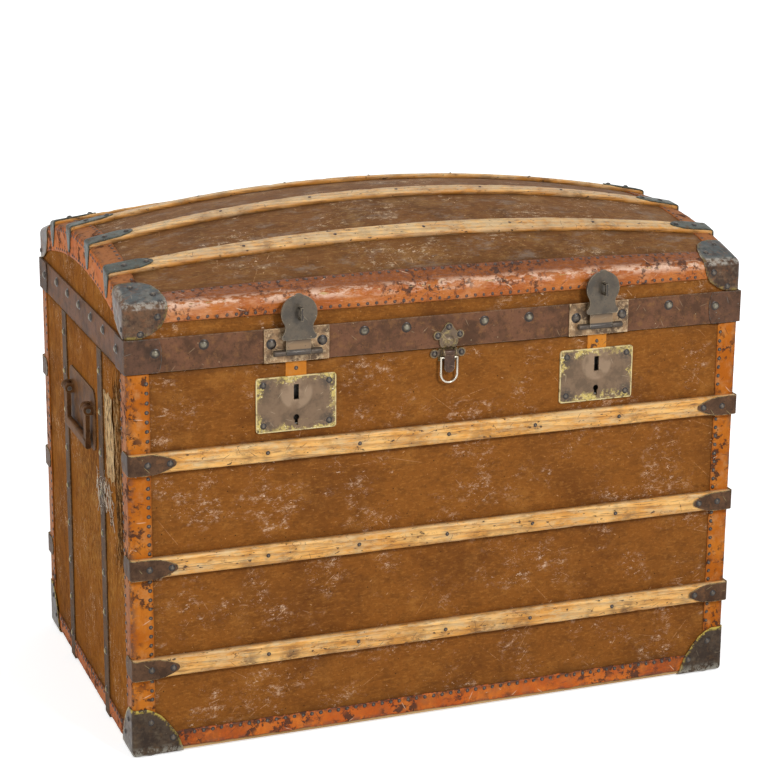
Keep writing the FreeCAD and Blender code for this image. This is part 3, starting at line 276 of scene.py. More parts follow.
def worn_edges(tree, radius, low, high):
    """1 on sharp outer and inner edges: where a softened normal leaves the true one."""
    soft = add(tree, "ShaderNodeBevel", {"Radius": radius / 1000}, samples=6).outputs[0]
    true = add(tree, "ShaderNodeNewGeometry").outputs["Normal"]
    return ramp(tree, vector_maths(tree, "DOT_PRODUCT", soft, true), high, low)


def facing_up(tree, low, high):
    """0 where the surface of the closed trunk leans, 1 where it faces up, from its own normal."""
    out = add(tree, "ShaderNodeTexCoord").outputs["Normal"]
    return ramp(tree, axis(tree, out, 2), low, high, interpolation_type="SMOOTHSTEP")


print("helpers for finishes are ready")

# %% [markdown]
# ## Painted canvas
# Cotton canvas glued to the boards and painted with an ochre brown oil paint. The paint fills the
# weave, so the threads show only as a fine ribbing, and the dry paint is nearly matt. Years of
# handling leave darker stains, dull rubbed places, and pale scratches and flakes where the paint
# is gone. The real threads are 0.6 mm apart, too fine for a picture of the whole trunk, so they
# are drawn 1.6 mm apart. Along every strip and slat the canvas is darkened, partly as dirt and
# partly as painted shade where the parts meet: the skin stores a grime and shade value for that,
# near 1 beside a strip, and a value called torn where it has frayed.

# %% Painted canvas
THREADS_APART = 1.6


def painted_canvas(name, paint, stain, light, scuff, scuff_amount, streak, shine=0.1, greyed=0.0):
    material, tree, shader, place = start_finish(name, 0.6, shine=shine)
    grime_and_shade = stored(tree, "grime_and_shade")
    stains = patches(tree, place, 130, 0.44, 0.68, 0.5, detail=6.0, rough=0.65)
    rubbed = patches(tree, place, 42, 0.5, 0.72, 0.45, shift=70, detail=6.0, rough=0.7)
    blotch = patches(tree, place, 11, 0.46, 0.66, 0.42, stretch=streak, shift=9, detail=6.0, rough=0.75)
    bloom = patches(tree, place, 4.2, 0.5, 0.66, 0.42, stretch=streak, shift=31, detail=3.0, rough=0.8)
    pores = patches(tree, place, 3.0, 0.53, 0.68, 0.5, shift=57, detail=3.0, rough=0.8)
    worked = patches(tree, place, 70, 0.49, 0.60, 1.0, shift=140, detail=4.0)
    broken = patches(tree, place, 3.5, 0.42, 0.55, 1.0, shift=311, detail=4.0, rough=0.8)
    scuffed = patches(tree, place, 9, 0.52, 0.66, scuff_amount, stretch=(0.6, 1, 1), shift=200, detail=10.0,
                      rough=0.85, within=worked)
    flaked = patches(tree, place, 6, 0.605, 0.635, 0.95, stretch=(0.6, 1, 1), shift=260, detail=8.0,
                     rough=0.8, within=worked)
    long_marks = scratches(tree, place, 75, 55, 0.9, 0.4, 0.55, shift=11, within=broken)
    marks = scratches(tree, place, 22, 16, 1.0, 0.4, 0.8, shift=4, within=overlap(tree, worked, broken))
    nicks = scratches(tree, place, 22, 5, 1.3, 0.14, 0.7, shift=81, within=broken)
    specks = flecks(tree, place, 8.0, 0.8, 0.4, within=broken)
    holes = flecks(tree, place, 12.0, 1.2, 0.4, shift=44)
    torn = stored(tree, "torn")
    frayed = patches(tree, place, 5, 0.5, 0.58, 0.85, stretch=(1, 1, 0.35), shift=350, detail=8.0, rough=0.8,
                     within=torn)
    gaping = patches(tree, place, 5, 0.56, 0.62, 0.9, stretch=(1, 1, 0.35), shift=380, detail=7.0, rough=0.75,
                     within=torn)
    smear = patches(tree, place, 26, 0.5, 0.66, greyed, stretch=(0.5, 1, 1), shift=171, detail=8.0,
                    rough=0.75)
    # The grime and shade value darkens the canvas beside strips and slats: dirt, and painted shade where the
    # parts meet.
    colour = layered(tree, paint, [
        (stains, stain), (rubbed, light), (smear, "#8f8072"), (blotch, stain), (bloom, light),
        (pores, "#5b3616"), (scuffed, scuff), (grime_and_shade, "#43270f"), (long_marks, "#cfa070"), (marks, "#dcb48a"),
        (nicks, "#d8b083"), (specks, "#c4935c"), (holes, "#46290f"), (flaked, "#ecccac"), (frayed, "#c08c44"),
        (gaping, "#36200f")])
    tree.links.new(colour, shader.inputs["Base Color"])
    weft = waves(tree, place, THREADS_APART, "Z", 0.7, 2.0, 0.6)
    warp = waves(tree, place, THREADS_APART, "X", 0.7, 2.0, 0.6)
    raise_relief(tree, shader, [(weft, 0.10), (warp, 0.08), (blotch, 0.3), (pores, -0.2), (flaked, -0.2)])
    vary_gloss(tree, shader, rubbed, 0.62, 0.42)
    return material


canvas_paint = painted_canvas("painted canvas", "#8b541e", "#542d0f", "#ae7433", "#d8b494", 1.0,
                              (0.55, 1, 1.3))
end_paint = painted_canvas("painted canvas, ends", "#96591a", "#51290a", "#cb8734", "#dcb88c", 1.0,
                           (1, 1, 0.3), shine=0.01)
# The dome's copy of the paint is darker, as painted shade on the top, and has grey smears.
shaded_dome_paint = painted_canvas("painted canvas, dome", "#7a502b", "#432712", "#9f7745", "#d4ba98", 1.0,
                            (0.4, 1, 1), greyed=0.55)
print("canvas:", canvas_paint.name, end_paint.name, shaded_dome_paint.name)

# %% [markdown]
# ## Vulcanised fibre
# Cotton rag paper treated until it turns into a hard, horn-like sheet, dyed orange brown and
# rolled smooth. It is glossier than the canvas. Knocks take off the skin and leave dark, dull
# chips and bruises, most along the outer corner; rubbing leaves paler, pinkish places. Each strip
# stores where its fold is, and a grime and shade value for its dirtier, more worn or shaded parts.
# On the lid's edge the fold is pale instead, a painted highlight along the roll, and dark crinkles
# there are painted shade in the creases; the leg of a corner strip on the end wall is darkened as
# painted shade.

# %% Vulcanised fibre
def vulcanised_fibre(name, dye, bright, pale, pale_amount, chips, dirt, rough, shine=0.15, creased=0.0,
                     fold_bruise_and_highlight_colour="#54453f", run=(1, 1, 0.25), top=None, smear=(1, 1, 1)):
    material, tree, shader, place = start_finish(name, rough, ior=1.54, shine=shine)
    fold = stored(tree, "fold")
    grime_and_shade = stored(tree, "grime_and_shade")
    tone = patches(tree, place, 50, 0.4, 0.62, 0.8, detail=5.0)
    rubbed = patches(tree, place, 15, 0.48, 0.7, pale_amount, stretch=smear, shift=33, detail=5.0, rough=0.6)
    streak = patches(tree, place, 5, 0.48, 0.7, 0.5, stretch=run, shift=61, detail=4.0)
    worked = patches(tree, place, 55, 0.44, 0.56, 1.0, shift=19, detail=3.0)
    chipped = patches(tree, place, 14, 0.61 - 0.09 * chips, 0.64 - 0.09 * chips, 0.9, shift=90, detail=7.0,
                      rough=0.7, within=worked)
    # Along the fold: dark bruises on most strips; on the lid's edge a pale colour, a painted highlight along
    # the roll.
    fold_bruise_and_highlight = patches(tree, place, 10, 0.46, 0.56, 1.0, stretch=smear, shift=15, detail=6.0, rough=0.7,
                      within=fold)
    # This mask lays the dirt colour where a strip stores grime and shade: real dirt, and painted shade over
    # the end-wall leg of the corner strips.
    dirt_and_shade = patches(tree, place, 7, 0.34, 0.56, 1.0, shift=71, detail=6.0, rough=0.7, within=grime_and_shade)
    # Dark crinkles on the lid edge: painted shade in its creases.
    shaded_crinkles = patches(tree, place, 4.5, 0.56, 0.64, min(0.85, creased), stretch=(0.8, 0.6, 0.6), shift=210,
                       detail=3.0, within=worked)
    lines = scratches(tree, place, 22, 15, 1.0, 0.35, 0.8, shift=5)
    pale_lines = scratches(tree, place, 34, 14, 1.4, 0.3, 0.8, shift=58)
    upward = facing_up(tree, 0.45, 0.9)
    colour = layered(tree, dye, [
        (tone, bright), (rubbed, pale), (streak, dye), (upward, top or dye),
        (overlap(tree, upward, streak), dirt), (dirt_and_shade, dirt), (fold_bruise_and_highlight, fold_bruise_and_highlight_colour), (shaded_crinkles, "#6a3c24"),
        (chipped, "#4a3228"), (lines, "#54352a"), (pale_lines, "#dcb899")])
    tree.links.new(colour, shader.inputs["Base Color"])
    dents = patches(tree, place, 10, 0.3, 0.7, 1.0, shift=44, detail=3.0)
    creases = patches(tree, place, 9, 0.36, 0.64, 1.0, stretch=smear, shift=120, detail=4.0, rough=0.6)
    raise_relief(tree, shader, [(dents, 0.4), (creases, 0.1 + creased), (shaded_crinkles, -creased),
                                (chipped, -0.35), (fold_bruise_and_highlight, -0.3), (lines, -0.15)])
    vary_gloss(tree, shader, chipped, rough, 0.75)
    return material


corner_fibre = vulcanised_fibre("vulcanised fibre, corners", "#b1601b", "#ca7a2a", "#c69462", 0.45, 0.8,
                                "#8c5228", 0.42, shine=0.04)
foot_fibre = vulcanised_fibre("vulcanised fibre, foot", "#c45e1c", "#d97c2c", "#b06c3e", 0.45, 1.1, "#4c2e1e",
                              0.42)
# The pale fold colour of the lid edge is a painted highlight along its roll.
edge_fibre = vulcanised_fibre("vulcanised fibre, lid edge", "#aa5a1e", "#c07230", "#d49a6e", 0.6, 0.6,
                              "#743c14", 0.3, shine=0.2, creased=0.8, fold_bruise_and_highlight_colour="#f0ccb2", run=(0.3, 1, 1),
                              top="#965216", smear=(0.4, 1.0, 1.0))
end_fibre = vulcanised_fibre("vulcanised fibre, ends", "#c4682c", "#d07838", "#c6906a", 0.5, 0.9, "#6c4228",
                             0.5, shine=0.03, top="#a86c42")
tab_fibre = vulcanised_fibre("vulcanised fibre, tabs", "#c07420", "#cf8428", "#c99458", 0.3, 0.2, "#7a4a30",
                             0.42)
print("fibre finishes: corners, foot, lid edge, ends, tabs")

# %% [markdown]
# ## Ash slats
# Straight grained ash or elm, planed, with one coat of varnish long since worn through. Growth
# rings show as uneven dark lines along the slat, open pores as short dark dashes, and the top side
# is grey where the varnish has gone and dirt has settled.

# %% Ash
ASH_RINGS_APART = 10.0


def ash_wood(name, pale, warm, dark, grey, grey_amount, flank="#c98a3c", flank_amount=0.0):
    material, tree, shader, place = start_finish(name, 0.48, shine=0.35)
    run = vector_maths(tree, "MULTIPLY", place, (0.05, 1, 1))
    rings = waves(tree, run, ASH_RINGS_APART, "DIAGONAL", 5.5, 4.0, 0.5, rough=0.65, wave_profile="SAW")
    ring_mask = ramp(tree, rings, 0.4, 1.0, 0.6)
    pores = patches(tree, place, 1.6, 0.54, 0.68, 0.7, stretch=(0.05, 1, 1), shift=8, detail=3.0)
    warmth = patches(tree, place, 34, 0.4, 0.6, 0.9, stretch=(0.4, 1, 1), shift=27, detail=5.0, rough=0.65)
    bleached = patches(tree, place, 13, 0.5, 0.64, 0.75, stretch=(0.5, 1, 1), shift=131, detail=6.0,
                       rough=0.75)
    weather = patches(tree, place, 16, 0.48, 0.66, grey_amount, stretch=(0.2, 1, 1), shift=66, detail=6.0,
                      rough=0.75)
    dirt = patches(tree, place, 8, 0.55, 0.67, 0.85, stretch=(0.4, 1, 1), shift=81, detail=8.0, rough=0.8)
    nicks = patches(tree, place, 4.5, 0.65, 0.68, 0.9, stretch=(0.5, 1, 1), shift=97, detail=5.0)
    marks = scratches(tree, place, 26, 14, 0.9, 0.45, 0.8, shift=39)
    topside = patches(tree, place, 9, 0.34, 0.62, grey_amount, shift=6, within=facing_up(tree, 0.35, 0.8))
    grime_and_shade = patches(tree, place, 5, 0.36, 0.56, 1.0, stretch=(0.5, 1, 1), shift=103, detail=8.0, rough=0.75,
                    within=stored(tree, "grime_and_shade"))
    sideways = ramp(tree, facing_up(tree, 0.25, 0.7), 1.0, 0.0, flank_amount)
    colour = layered(tree, pale, [(warmth, warm), (bleached, "#e2bf88"), (sideways, flank), (ring_mask, dark),
                                  (pores, "#7d5428"), (weather, grey), (topside, grey), (dirt, "#8a5a2c"),
                                  (marks, "#6b4322"), (grime_and_shade, "#5a3a1e"), (nicks, "#3f2a1c")])
    tree.links.new(colour, shader.inputs["Base Color"])
    raise_relief(tree, shader, [(ring_mask, 0.15), (pores, -0.25), (nicks, -0.5), (marks, -0.2)])
    vary_gloss(tree, shader, weather, 0.42, 0.7)
    return material


front_ash = ash_wood("ash, body slats", "#f8c272", "#e09a3e", "#a66c30", "#dec496", 0.55)
dome_ash = ash_wood("ash, dome slats", "#f6c276", "#d8943a", "#8c5a28", "#ccb48e", 0.55, "#b87428", 0.6)
print("ash finishes: body and dome slats")

# %% [markdown]
# ## Plain boards and cotton lining
# The boards inside are soft pine, seen only at the rim and under the bottom. The lining is a
# cream cotton with a fine woven stripe, glued to the boards, stained by age.

# %% Pine and lining
PINE_RINGS_APART = 18.0
STRIPES_APART = 28.0


def pine_wood(name, pale, dark, stain):
    material, tree, shader, place = start_finish(name, 0.65)
    run = vector_maths(tree, "MULTIPLY", place, (0.04, 1, 1))
    rings = waves(tree, run, PINE_RINGS_APART, "DIAGONAL", 6.0, 2.0, 0.2)
    fibres = patches(tree, place, 1.6, 0.45, 0.7, 0.4, stretch=(0.03, 1, 1), detail=3.0)
    stains = patches(tree, place, 50, 0.5, 0.7, 0.6, shift=12, detail=5.0)
    colour = layered(tree, pale, [(rings, dark), (fibres, dark), (stains, stain)])
    tree.links.new(colour, shader.inputs["Base Color"])
    raise_relief(tree, shader, [(rings, 0.15), (fibres, -0.2)])
    return material


def cotton_lining(name):
    material, tree, shader, place = start_finish(name, 0.85, sheen=0.2)
    across = vector_maths(tree, "MULTIPLY", place, (1, 1, 0))
    stripe = waves(tree, across, STRIPES_APART, "DIAGONAL")
    stripe_mask = ramp(tree, stripe, 0.82, 0.9, 0.55)
    weave = patches(tree, place, 1.2, 0.4, 0.6, 0.3, detail=1.0)
    age = patches(tree, place, 90, 0.45, 0.7, 0.6, shift=5, detail=5.0)
    spots = flecks(tree, place, 30, 3.0, 0.4)
    colour = layered(tree, "#d2c4a4", [(stripe_mask, "#a88f68"), (weave, "#c0b08c"), (age, "#b59b70"),
                                       (spots, "#8d7048")])
    tree.links.new(colour, shader.inputs["Base Color"])
    raise_relief(tree, shader, [(weave, 0.2), (age, 0.3)])
    return material


pine = pine_wood("pine board", "#d0ae7a", "#b08a54", "#94714a")
lining = cotton_lining("cotton lining")
print("inside finishes:", pine.name, lining.name)

# %% [markdown]
# ## Iron
# Sheet iron with brown paint or black lacquer: dull, mottled by rust, and rubbed to bare grey
# metal on its edges. The wear follows edges, found by comparing the true normal with one that has
# been rounded off. The caps of the lid are blue grey where they face up and pale along the fold,
# partly worn metal and partly a painted highlight; pale and dark smears on the caps are painted
# sheen and shade. A second function adds that to the same start.

# %% Painted and lacquered iron
def iron_layers(tree, place, dark, rust, bare, rust_amount, edge_amount):
    """What all old iron shares: the mask of rust, the layers over its paint, and the pits."""
    cloud = patches(tree, place, 32, 0.4, 0.64, 0.75, detail=6.0, rough=0.65)
    mottle = patches(tree, place, 5, 0.48, 0.68, 0.55, shift=14, detail=5.0, rough=0.75)
    rusty = patches(tree, place, 13, 0.5, 0.66, rust_amount, shift=36, detail=8.0, rough=0.75)
    pits = flecks(tree, place, 5.0, 0.9, 0.35)
    glints = flecks(tree, place, 9.0, 0.9, 0.18, shift=23)
    lines = scratches(tree, place, 26, 13, 0.8, 0.4, 0.6, shift=3)
    edge_noise = patches(tree, place, 5, 0.36, 0.62, edge_amount, shift=24, detail=4.0)
    edge = overlap(tree, worn_edges(tree, 1.6, 0.90, 0.995), edge_noise)
    layers = [(cloud, dark), (mottle, dark), (rusty, rust), (pits, dark), (glints, bare), (lines, bare),
              (edge, bare)]
    return rusty, layers, pits


def iron_relief(tree, shader, place, rusty, pits):
    """Shallow dents, raised rust and small pits."""
    dents = patches(tree, place, 14, 0.25, 0.75, 1.0, shift=52, detail=2.0)
    raise_relief(tree, shader, [(dents, 0.30), (rusty, 0.15), (pits, -0.2)])


def painted_iron(name, paint, dark, rust, bare, rust_amount, metal=0.1, gloss=0.5, edge_amount=0.8,
                 shine=0.2):
    material, tree, shader, place = start_finish(name, gloss, metallic=metal, shine=shine)
    rusty, layers, pits = iron_layers(tree, place, dark, rust, bare, rust_amount, edge_amount)
    tree.links.new(layered(tree, paint, layers), shader.inputs["Base Color"])
    iron_relief(tree, shader, place, rusty, pits)
    vary_gloss(tree, shader, rusty, gloss, 0.75)
    return material


def cap_sheet_iron(name, paint, dark, rust, bare, top, fold_wear_and_highlight_amount, rim, foot_worn):
    """Pressed caps: another colour on top, a fold pale with wear and a painted highlight, painted sheen and
    shade, a brass coloured rim, a scuffed foot.
    """
    material, tree, shader, place = start_finish(name, 0.28, shine=0.12)
    rusty, layers, _ = iron_layers(tree, place, dark, rust, bare, 0.5, 0.5)
    upward = facing_up(tree, 0.75, 0.95)
    leaning = overlap(tree, facing_up(tree, 0.15, 0.5), facing_up(tree, 0.97, 0.85))
    # Pale along the fold: worn metal, and a painted highlight.
    pale_fold_wear_and_highlight = patches(tree, place, 8, 0.44, 0.58, fold_wear_and_highlight_amount, shift=48, detail=6.0, rough=0.7, within=leaning)
    rim_mask = patches(tree, place, 7, 0.44, 0.54, rim, shift=88, detail=6.0, rough=0.7,
                       within=stored(tree, "rim"))
    low = ramp(tree, axis(tree, place, 2), 18.0, 5.0)
    scuffed = patches(tree, place, 7, 0.44, 0.56, foot_worn, shift=68, detail=6.0, rough=0.7, within=low)
    # Pale and dark smears: painted sheen and painted shade on the lacquer.
    sheen_smear = patches(tree, place, 17, 0.5, 0.66, 0.22, shift=133, detail=5.0, rough=0.65)
    shade_smear = patches(tree, place, 14, 0.46, 0.62, 0.75, shift=161, detail=6.0, rough=0.7)
    layers[2:2] = [(upward, top), (sheen_smear, bare), (shade_smear, dark)]
    layers += [(rim_mask, "#c9b052"), (pale_fold_wear_and_highlight, "#b9b3a8"), (scuffed, "#a9a598")]
    tree.links.new(layered(tree, paint, layers), shader.inputs["Base Color"])
    beaten = patches(tree, place, 13, 0.3, 0.7, 1.0, shift=77, detail=1.0)
    raise_relief(tree, shader, [(beaten, 0.4)])
    vary_gloss(tree, shader, rusty, 0.3, 0.65)
    return material


band_iron = painted_iron("brown painted iron", "#7a5540", "#4c392d", "#8f6642", "#b09878", 0.65, metal=0.0,
                         shine=0.03)
band_corner_iron = painted_iron("dark iron, corner pieces of the band", "#664a3b", "#3c3129", "#7b583f",
                                "#7d817a", 0.7, metal=0.0, edge_amount=1.0, shine=0.06)
clamp_iron = painted_iron("black lacquered iron", "#664c3a", "#3c2e26", "#7c583c", "#b8a878", 0.65, metal=0.0,
                          gloss=0.36, edge_amount=1.0, shine=0.03)
dome_clamp_iron = painted_iron("blued iron", "#555a52", "#30342f", "#5e4a36", "#a8aa9c", 0.85, metal=0.0,
                               gloss=0.36, shine=0.14)
strap_iron = painted_iron("iron strapping", "#5f4836", "#3f2e20", "#7a5634", "#a58a66", 0.65, metal=0.0,
                          shine=0.03)
handle_iron = painted_iron("wrought handle iron", "#744e2e", "#402a1c", "#82592f", "#a08460", 0.6, metal=0.0,
                           shine=0.04)
dull_steel = painted_iron("dull steel", "#6e6a64", "#514e4a", "#765f46", "#a5a19a", 0.3, metal=0.7,
                          gloss=0.42)
bright_wire = painted_iron("plated wire", "#c2bbac", "#8b8070", "#97865f", "#f2ede0", 0.3, metal=0.9,
                           gloss=0.25)
lid_cap_iron = cap_sheet_iron("lacquered cap iron, lid", "#6c523e", "#332823", "#84583a", "#a0927c",
                              "#464c4c", 0.6, 0.4, 0.0)
foot_cap_iron = cap_sheet_iron("lacquered cap iron, foot", "#534538", "#332821", "#644a30", "#8f8068",
                               "#4d3f33", 0.0, 0.95, 0.8)
print("irons: band, clamps, straps, handle, steel, wire, caps")

# %% [markdown]
# ## Brass, rivet heads and hasps
# Brass tarnishes to a grey brown and stays yellow where hands or cloth rub it. The lock plates
# keep a flaky yellow border, a dark bloom round each corner screw, and a paler ring where the
# hasp's head has lain on them for years; a thin pale line along their edge is a painted highlight.
# Rivet and nail heads store two values: a dark ring at their foot, dirt and painted shade, and a
# pale crown, wear and a painted highlight.

# %% Lock plates
def lock_brass(name):
    material, tree, shader, place = start_finish(name, 0.4, metallic=0.25)
    height = axis(tree, place, 2)
    from_middle = apart(tree, axis(tree, place, 0), LOCKS_MIDDLE)
    sideways = apart(tree, from_middle, LOCKS_APART)
    upright = apart(tree, height, LOCK_Z)
    to_side = maths(tree, "SUBTRACT", LOCK_HALF_LENGTH, sideways)
    to_top = maths(tree, "SUBTRACT", LOCK_HALF_HEIGHT, upright)
    inset = maths(tree, "MINIMUM", to_side, to_top)
    wavy = patches(tree, place, 22, 0.42, 0.62, 13.0, shift=12, detail=7.0, rough=0.75)
    border = ramp(tree, maths(tree, "SUBTRACT", inset, wavy), 2.2, -2.5)
    uneven = patches(tree, place, 38, 0.32, 0.5, 1.0, shift=150, detail=3.0, within=border)
    flaky = patches(tree, place, 5.0, 0.42, 0.54, 0.95, shift=21, detail=9.0, rough=0.8, within=uneven)
    white = flecks(tree, place, 2.6, 0.9, 0.5, shift=17, within=uneven)
    # A thin pale line along the plate's edge: a painted highlight.
    rim = patches(tree, place, 7, 0.36, 0.5, 1.0, shift=93, detail=5.0,
                  within=ramp(tree, inset, 1.8, 0.8, 0.9))
    on_quarter = add(tree, "ShaderNodeCombineXYZ", {0: sideways, 1: upright, 2: 0.0}).outputs[0]
    near_screw = ramp(tree, vector_maths(tree, "DISTANCE", on_quarter, LOCK_SCREW), 17.0, 7.0)
    bloom = patches(tree, place, 5, 0.4, 0.54, 0.85, shift=39, detail=6.0, rough=0.75, within=near_screw)
    on_half = add(tree, "ShaderNodeCombineXYZ", {0: sideways, 1: height, 2: 0.0}).outputs[0]
    from_slot = vector_maths(tree, "DISTANCE", on_half, (0.0, SLOT_Z - 2, 0.0))
    worn = patches(tree, place, 22, 0.3, 0.55, 0.8, shift=71, within=ramp(tree, from_slot, 23.0, 20.0))
    cloud = patches(tree, place, 24, 0.42, 0.64, 0.8, detail=5.0, rough=0.65)
    speckled = patches(tree, place, 3.6, 0.56, 0.68, 0.6, shift=64, detail=5.0, rough=0.75)
    lines = scratches(tree, place, 20, 13, 0.8, 0.5, 0.5, shift=8)
    colour = layered(tree, "#755c43", [(cloud, "#594632"), (speckled, "#493a29"), (worn, "#937a60"),
                                       (lines, "#b8a488"), (bloom, "#43372a"), (flaky, "#ccb566"),
                                       (white, "#efe3c0"), (rim, "#dcc992")])
    tree.links.new(colour, shader.inputs["Base Color"])
    raise_relief(tree, shader, [(cloud, 0.2), (flaky, 0.15), (speckled, -0.12)])
    vary_gloss(tree, shader, cloud, 0.38, 0.55)
    return material


# %% Other brass and the hasps
def tarnished_brass(name, tarnish, dark, bright, bright_amount, gloss=0.42, knuckle_dirt=0.0):
    material, tree, shader, place = start_finish(name, gloss, metallic=0.3)
    cloud = patches(tree, place, 20, 0.42, 0.62, 0.85, detail=5.0)
    speckled = patches(tree, place, 3.4, 0.56, 0.68, 0.75, shift=64, detail=5.0, rough=0.75)
    rubbed = patches(tree, place, 9, 0.50, 0.62, 0.6, shift=18, detail=7.0, rough=0.75)
    edge_noise = patches(tree, place, 5, 0.3, 0.55, bright_amount, shift=24, detail=4.0)
    edge = overlap(tree, worn_edges(tree, 1.3, 0.9, 0.995), edge_noise)
    lines = scratches(tree, place, 18, 12, 0.8, 0.4, 0.6, shift=8)
    knuckle = ramp(tree, axis(tree, place, 1), FRONT_Y - 5.4, FRONT_Y - 6.2, knuckle_dirt)
    colour = layered(tree, tarnish, [(cloud, dark), (rubbed, bright), (speckled, "#4a3b2a"), (edge, bright),
                                     (lines, "#bfa883"), (knuckle, "#3d352e")])
    tree.links.new(colour, shader.inputs["Base Color"])
    raise_relief(tree, shader, [(cloud, 0.2), (speckled, -0.15)])
    vary_gloss(tree, shader, cloud, gloss, gloss + 0.14)
    return material


def hasp_metal(name, leaf, leaf_dark, strap):
    """The cast leaf is nearly black; the brass strap below it has been rubbed brown, with a painted shadow
    under the leaf, and the staple is painted dark as the shade in its loop.
    """
    material, tree, shader, place = start_finish(name, 0.4, metallic=0.2)
    rusty, layers, pits = iron_layers(tree, place, leaf_dark, "#6b5846", "#97896f", 0.35, 0.9)
    height = axis(tree, place, 2)
    below = ramp(tree, height, HASP_AXIS_Z + 17.9, HASP_AXIS_Z + 17.4)
    # Painted shadow: the strap is darkened just under the leaf.
    shadow_under_leaf = ramp(tree, height, HASP_AXIS_Z + 11.0, HASP_AXIS_Z + 17.0, 0.75)
    round_pin = ramp(tree, height, HASP_AXIS_Z + 5.2, HASP_AXIS_Z + 4.2)
    # Painted shade: the staple that stands out of the leaf is painted nearly black, as its loop lies in
    # shade.
    shaded_staple = ramp(tree, axis(tree, place, 1), HASP_FACE, HASP_FACE - 1.5, 0.8)
    layers[2:2] = [(below, strap), (overlap(tree, below, shadow_under_leaf), "#33291f"), (round_pin, "#3d352e"),
                   (shaded_staple, "#231d18")]
    tree.links.new(layered(tree, leaf, layers), shader.inputs["Base Color"])
    iron_relief(tree, shader, place, rusty, pits)
    vary_gloss(tree, shader, rusty, 0.38, 0.65)
    return material


plate_brass = lock_brass("tarnished brass, lock plates")
hinge_brass = tarnished_brass("rubbed brass, hasp plates", "#937350", "#44311f", "#d8bb92", 1.0,
                              knuckle_dirt=0.9)
latch_brass = tarnished_brass("tarnished brass, latch", "#64513e", "#3c3026", "#a8935c", 0.7, gloss=0.4)
hasp_iron = hasp_metal("blackened hasp", "#5a4f40", "#38322a", "#846a4c")
latch_iron = painted_iron("blackened latch", "#3f3831", "#292420", "#5b4938", "#8c7c64", 0.3, metal=0.2,
                          gloss=0.36)
lever_iron = painted_iron("browned latch lever", "#573f32", "#33251e", "#7c5d48", "#a8927a", 0.5, metal=0.15,
                          gloss=0.3)


# %% Rivet and nail heads
def head_metal(name, skin, dark, bright, foot, metal=0.2, gloss=0.36, crown_wear_and_highlight=0.4):
    """A head is darkest round its foot, with dirt and painted shade, and pale on its crown, worn and a
    painted highlight.
    """
    material, tree, shader, place = start_finish(name, gloss, metallic=metal)
    cloud = patches(tree, place, 5, 0.42, 0.6, 0.8, detail=4.0)
    foot_dirt_and_shade = stored(tree, "grime_and_shade")
    # The crown is pale: rubbed wear, and a painted highlight.
    crown = patches(tree, place, 6, 0.3, 0.5, crown_wear_and_highlight, shift=28, within=stored(tree, "crown"))
    tree.links.new(layered(tree, skin, [(cloud, dark), (crown, bright), (foot_dirt_and_shade, foot)]),
                   shader.inputs["Base Color"])
    return material


band_rivet = head_metal("steel band rivets", "#665c4a", "#3a3228", "#b9b29a", "#2a1c12", crown_wear_and_highlight=0.45)
dark_rivet = head_metal("blackened rivets", "#4b4036", "#2c2520", "#8a7e6a", "#1c140f")
strap_rivet = head_metal("brass strap rivets", "#8a7744", "#5e5036", "#dccb7a", "#2e2114")
nail_head = head_metal("small nail heads", "#43342a", "#281e17", "#9a8d78", "#22160d")
lid_nail_head = head_metal("small nail heads of the lid", "#4e3020", "#301c11", "#8f6f52", "#2a160c",
                           metal=0.0, crown_wear_and_highlight=0.3)
print("brass, hasps and heads are ready")

# %% [markdown]
# ## Paper and threads
# A torn strip of old paper clings to one end, bare and brown. The canvas beside it has frayed into
# pale loose threads, and into straw coloured and dark shreds along the corner strip.

# %% Paper and threads
def aged_paper(name, pale, dark, stain):
    material, tree, shader, place = start_finish(name, 0.8, shine=0.2)
    fibres = patches(tree, place, 3, 0.45, 0.65, 0.6, stretch=(1, 1, 0.25), detail=5.0)
    side_leg_shade_and_edge_dirt = patches(tree, place, 16, 0.45, 0.62, 0.8, shift=9, detail=7.0, rough=0.7)
    torn = patches(tree, place, 7, 0.53, 0.56, 0.9, stretch=(1, 1, 0.4), shift=52, detail=6.0, rough=0.75)
    tree.links.new(layered(tree, pale, [(fibres, dark), (side_leg_shade_and_edge_dirt, stain), (torn, "#5f4527")]),
                   shader.inputs["Base Color"])
    raise_relief(tree, shader, [(fibres, 0.15), (torn, -0.3)])
    return material


label_paper = aged_paper("bare torn paper", "#e0bd8a", "#8f6a3e", "#b08048")
straw_canvas = aged_paper("frayed canvas", "#c8965a", "#8a5c2c", "#a06a30")
dark_canvas = aged_paper("frayed canvas, dark", "#7c5026", "#54330f", "#6a3f18")
loose_thread = aged_paper("loose cotton threads", "#f6ecdc", "#dccbb0", "#ead8bc")

# %% [markdown]
# ## Bringing a piece into the scene
# Every new piece is a bmesh drawn in millimetres about the middle of the trunk. Finishing it means:
# move it into the frame, store it as a mesh at the origin, give it its material, tell the frame
# which body it rides on, and which of the frame's solids it stands for.

# %% Finishing a piece
def finish_piece(name, bm, finish, body, replaced=(), thickness=0.0):
    """Turns a bmesh in mm into a finished piece. A thickness in mm grows inwards from the skin."""
    bm.transform(TO_FRAME)
    mesh = bpy.data.meshes.new(name)
    bm.to_mesh(mesh)
    bm.free()
    mesh.materials.append(finish)
    for polygon in mesh.polygons:
        polygon.use_smooth = True
    piece = bpy.data.objects.new(name, mesh)
    bpy.context.scene.collection.objects.link(piece)
    if thickness:
        wall = piece.modifiers.new("wall", "SOLIDIFY")
        wall.thickness = thickness / 1000
        wall.offset = -1.0
    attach(piece, body)
    if replaced:
        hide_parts(*replaced)
    print(name, len(mesh.polygons), "faces")
    return piece


def near(value, low, high, reach):
    """1 between low and high, fading to 0 at that reach outside."""
    outside = max(low - value, value - high, 0.0)
    return max(0.0, 1.0 - outside / reach)


